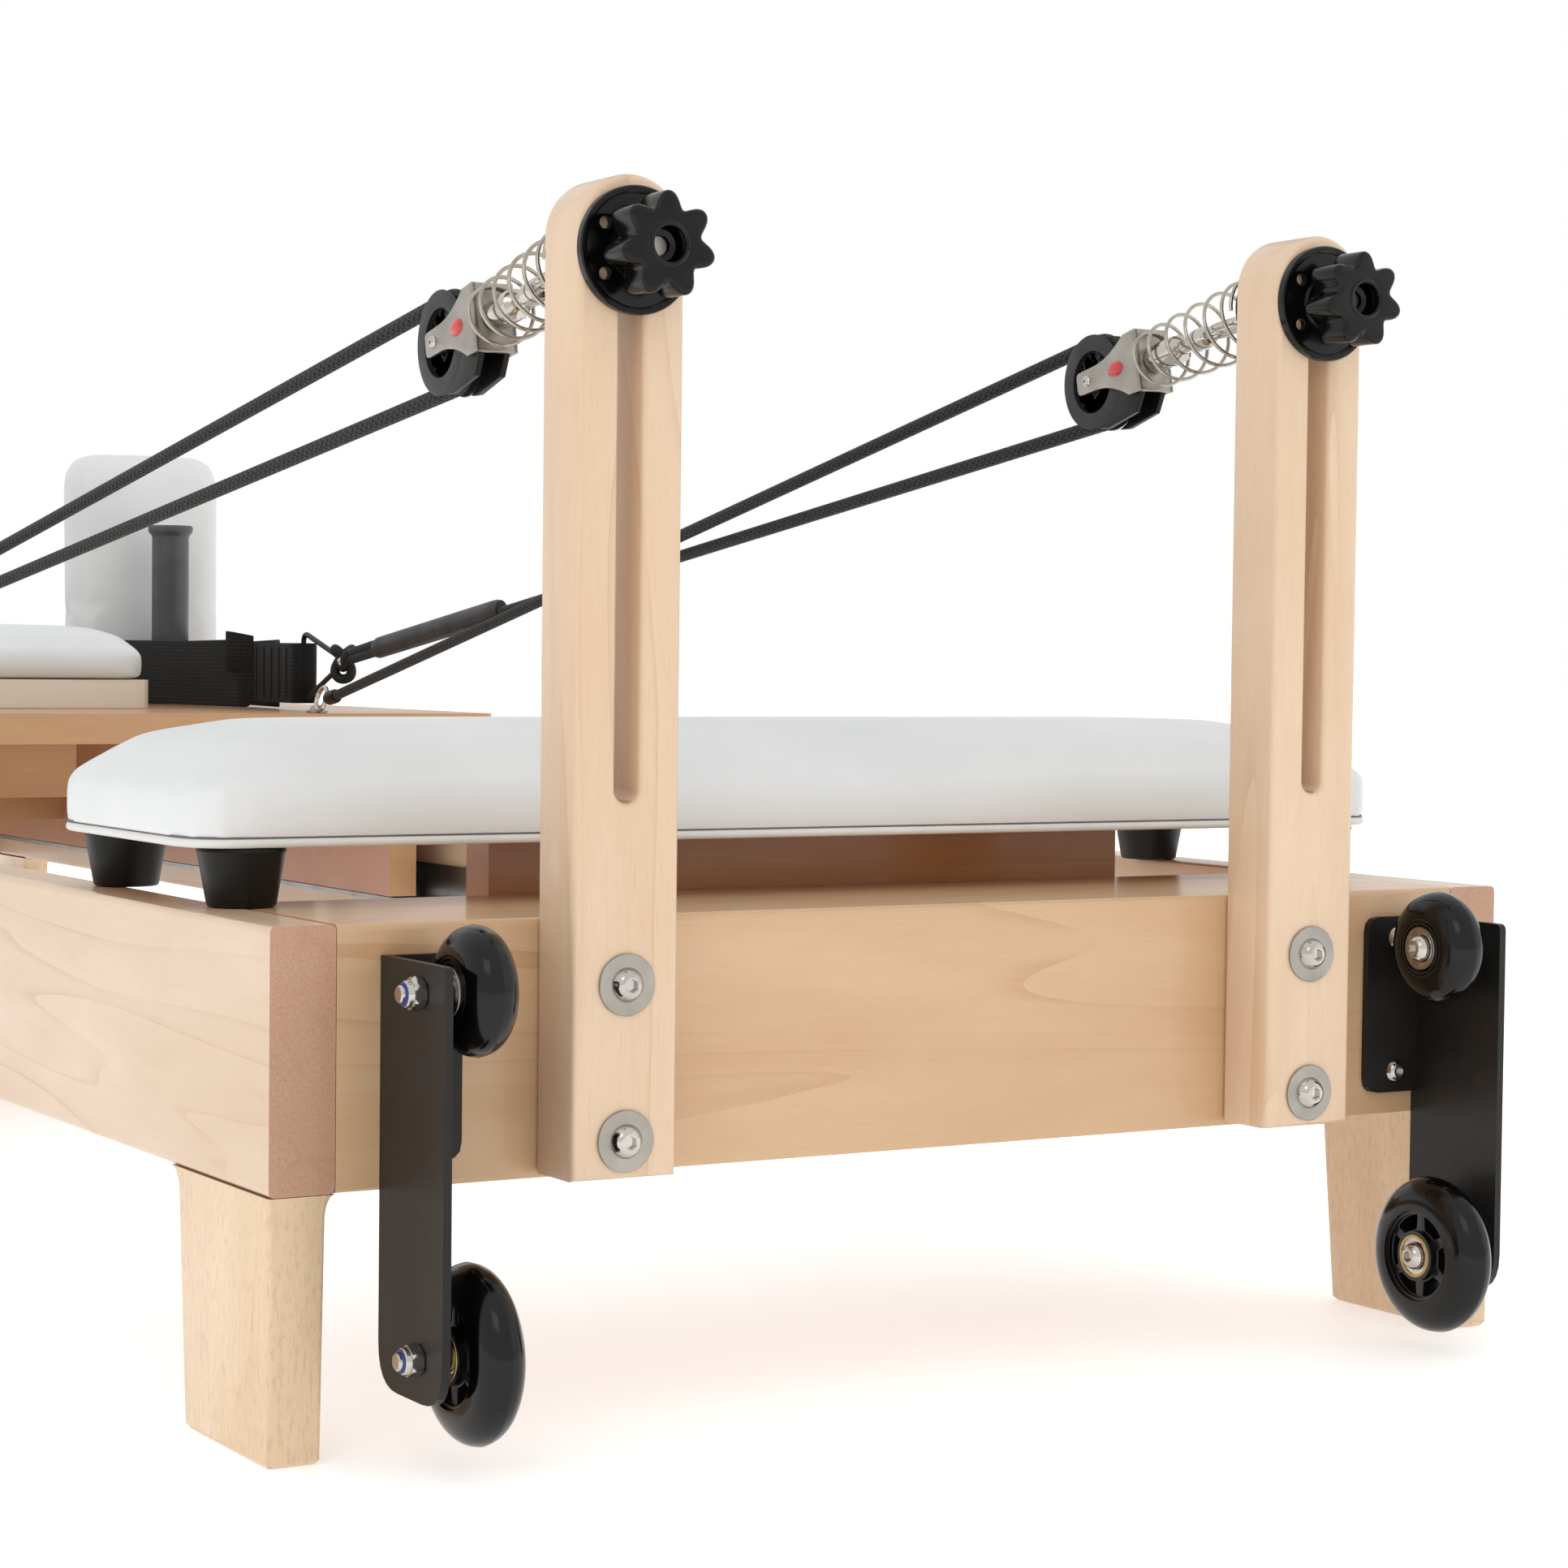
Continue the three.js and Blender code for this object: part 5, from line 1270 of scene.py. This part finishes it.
springLook = {"coil": 0.0121, "wire": 0.00125, "pitch": 0.0027, "sleeve": 0.034}
for place in ("left", "middle", "right"):
    node = f"resistance_spring_{place}"
    low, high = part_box(node)
    x, z = (low.x + high.x) / 2, (low.z + high.z) / 2
    length = high.y - low.y
    turns = int((length - 0.016) / springLook["pitch"])
    t = np.linspace(0, 1, turns * 18 + 1)
    # radius closes in at both ends into a hook
    reach = springLook["coil"] * np.minimum(1, 0.35 + 30 * np.minimum(t, 1 - t))
    coil = np.stack([x + reach * np.cos(2 * np.pi * turns * t), low.y + 0.002 + (length - 0.004) * t,
        z + reach * np.sin(2 * np.pi * turns * t)], -1)
    spring = sweep(f"extension_spring_{place}", coil, springLook["wire"], springSteel, stands=[node], sides=7)
    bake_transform(spring)
    for body, y, way in (("carriage", low.y + 0.0015, 1), ("frame", high.y - 0.0015, -1)):
        s = springLook["sleeve"]
        turned(f"spring_sleeve_{body}_{place}", [(0.0128, 0), (0.0134, 0.0005), (0.0134, s - 0.0010), (0.0130, s),
            (0.0124, s), (0.0124, 0)], facing((x, y, z), (0, way, 0)), redSleeve, body, segments=56)
print("rollers and springs made")


# Footbar
barLook = {"tube": 0.0125, "bend": 0.060, "lean": 63.0, "stub": 0.034, "stubRadius": 0.0060}
barLow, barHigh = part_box("footbar")
gripCentre = middle("footbar_grip")
armX = barHigh.x - barLook["tube"]
lean = math.radians(barLook["lean"])
up = np.array([0, math.sin(lean), math.cos(lean)])
pivot = np.array(next(j["pos_m"] for j in frame["joints"] if j["name"] == "footbar_fold"), float)
armLength = float((np.array(gripCentre) - pivot).dot(up))
bend = barLook["bend"]
line = [[-armX, -barLook["tube"]]]
angle = np.linspace(0, np.pi / 2, 13)
line += [[-armX, (armLength - bend) * k / 4] for k in range(1, 4)]
# each bend is a quarter circle of the bend radius
line += [[-armX + bend - bend * math.cos(a), armLength - bend + bend * math.sin(a)] for a in angle]
line += [[(armX - bend) * (k / 4 - 1), armLength] for k in range(1, 8)]
line += [[armX - bend + bend * math.sin(a), armLength - bend + bend * math.cos(a)] for a in angle]
line += [[armX, (armLength - bend) * k / 4] for k in range(3, 0, -1)] + [[armX, -barLook["tube"]]]
line = np.array(line)
path = pivot * [0, 1, 1] + line[:, :1] * [1, 0, 0] + line[:, 1:] * up
shapes = [sweepShape(path, barLook["tube"], 28)]
for name, side in sides:
    at = np.array([side * armX, pivot[1], pivot[2]])
    outward = facing(at, (side, 0, 0))
    shapes.append(turnedShape(squareRing(0, barLook["stubRadius"], -barLook["stub"], 0), outward, 32))
bar = gathered("bent_footbar", shapes, powderCoat, "footbar", ["footbar"], 40)
for name, side in sides:
    at = facing((side * (armX + barLook["tube"] - 0.0010), pivot[1], pivot[2]), (side, 0, 0))
    gathered(f"footbar_pivot_cap_{name}", [buttonHead(at, 0.0085, 0.0048, 0.0030)], polishedSteel, "footbar")
half = (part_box("footbar_grip")[1].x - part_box("footbar_grip")[0].x) / 2
gripPiece = turned("foam_grip", [(0.0127, -half), (0.0165, -half), (0.0182, 0.0012 - half), (0.0188, 0.0040 - half),
    (0.0188, half - 0.0040), (0.0182, half - 0.0012), (0.0165, half), (0.0127, half)],
    facing(gripCentre, (1, 0, 0)), foam, "footbar", ["footbar_grip"], 72)
print("footbar made")


# Floor, light and background
studio = {"sky": 0.96, "key": 9.0, "keySize": 1.6, "fill": 3.0, "floor": "#fbfbfa", "floorGlow": 0.4}
floorMaterial, floorTree, floorShader = newMaterial("paintedStudioFloor", **{"Roughness": 0.55})
floorPlace = objectPlace(floorTree)
floorShade = mix(floorTree, noise(floorTree, floorPlace, 3.0), linear(studio["floor"]), linear("#f7f7f6"))
floorTree.links.new(floorShade, floorShader.inputs["Base Color"])
bump(floorTree, floorShader, noise(floorTree, floorPlace, 300.0), 0.0001)
floorShader.inputs["Emission Color"].default_value = (1, 1, 1, 1)
floorShader.inputs["Emission Strength"].default_value = studio["floorGlow"]
floorPoints = [[-30, -30, -0.0005], [30, -30, -0.0005], [30, 30, -0.0005], [-30, 30, -0.0005]]
floorPiece = makePiece("studio_floor", floorPoints, [[0, 1, 2, 3]], floorMaterial)
floorPiece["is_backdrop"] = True


def areaLight(name, place, target, size, power):
    data = bpy.data.lights.new(name, "AREA")
    data.energy, data.size = power, size
    lamp = bpy.data.objects.new(name, data)
    lamp.matrix_world = facing(place, Vector(place) - Vector(target))
    scene.collection.objects.link(lamp)
    lamp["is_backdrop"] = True
    return lamp


target = (0, headY, 0.3)
areaLight("key_light", (-2.4, headY - 2.2, 3.0), target, studio["keySize"], studio["key"])
areaLight("fill_light", (2.6, headY - 2.4, 1.6), target, 2.0, studio["fill"])
world = bpy.data.worlds.new("studio")
scene.world = world
world.use_nodes = True
# the backdrop is seen as pure white, and lights the object a little less than that
seen = addNode(world.node_tree, "LightPath").outputs["Is Camera Ray"]
world.node_tree.nodes["Background"].inputs[0].default_value = (1, 1, 1, 1)
world.node_tree.links.new(spread(world.node_tree, seen, 0.0, 1.0, studio["sky"], 1.0),
    world.node_tree.nodes["Background"].inputs[1])
scene.view_settings.view_transform = "Standard"
print("studio made")

low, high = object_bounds()
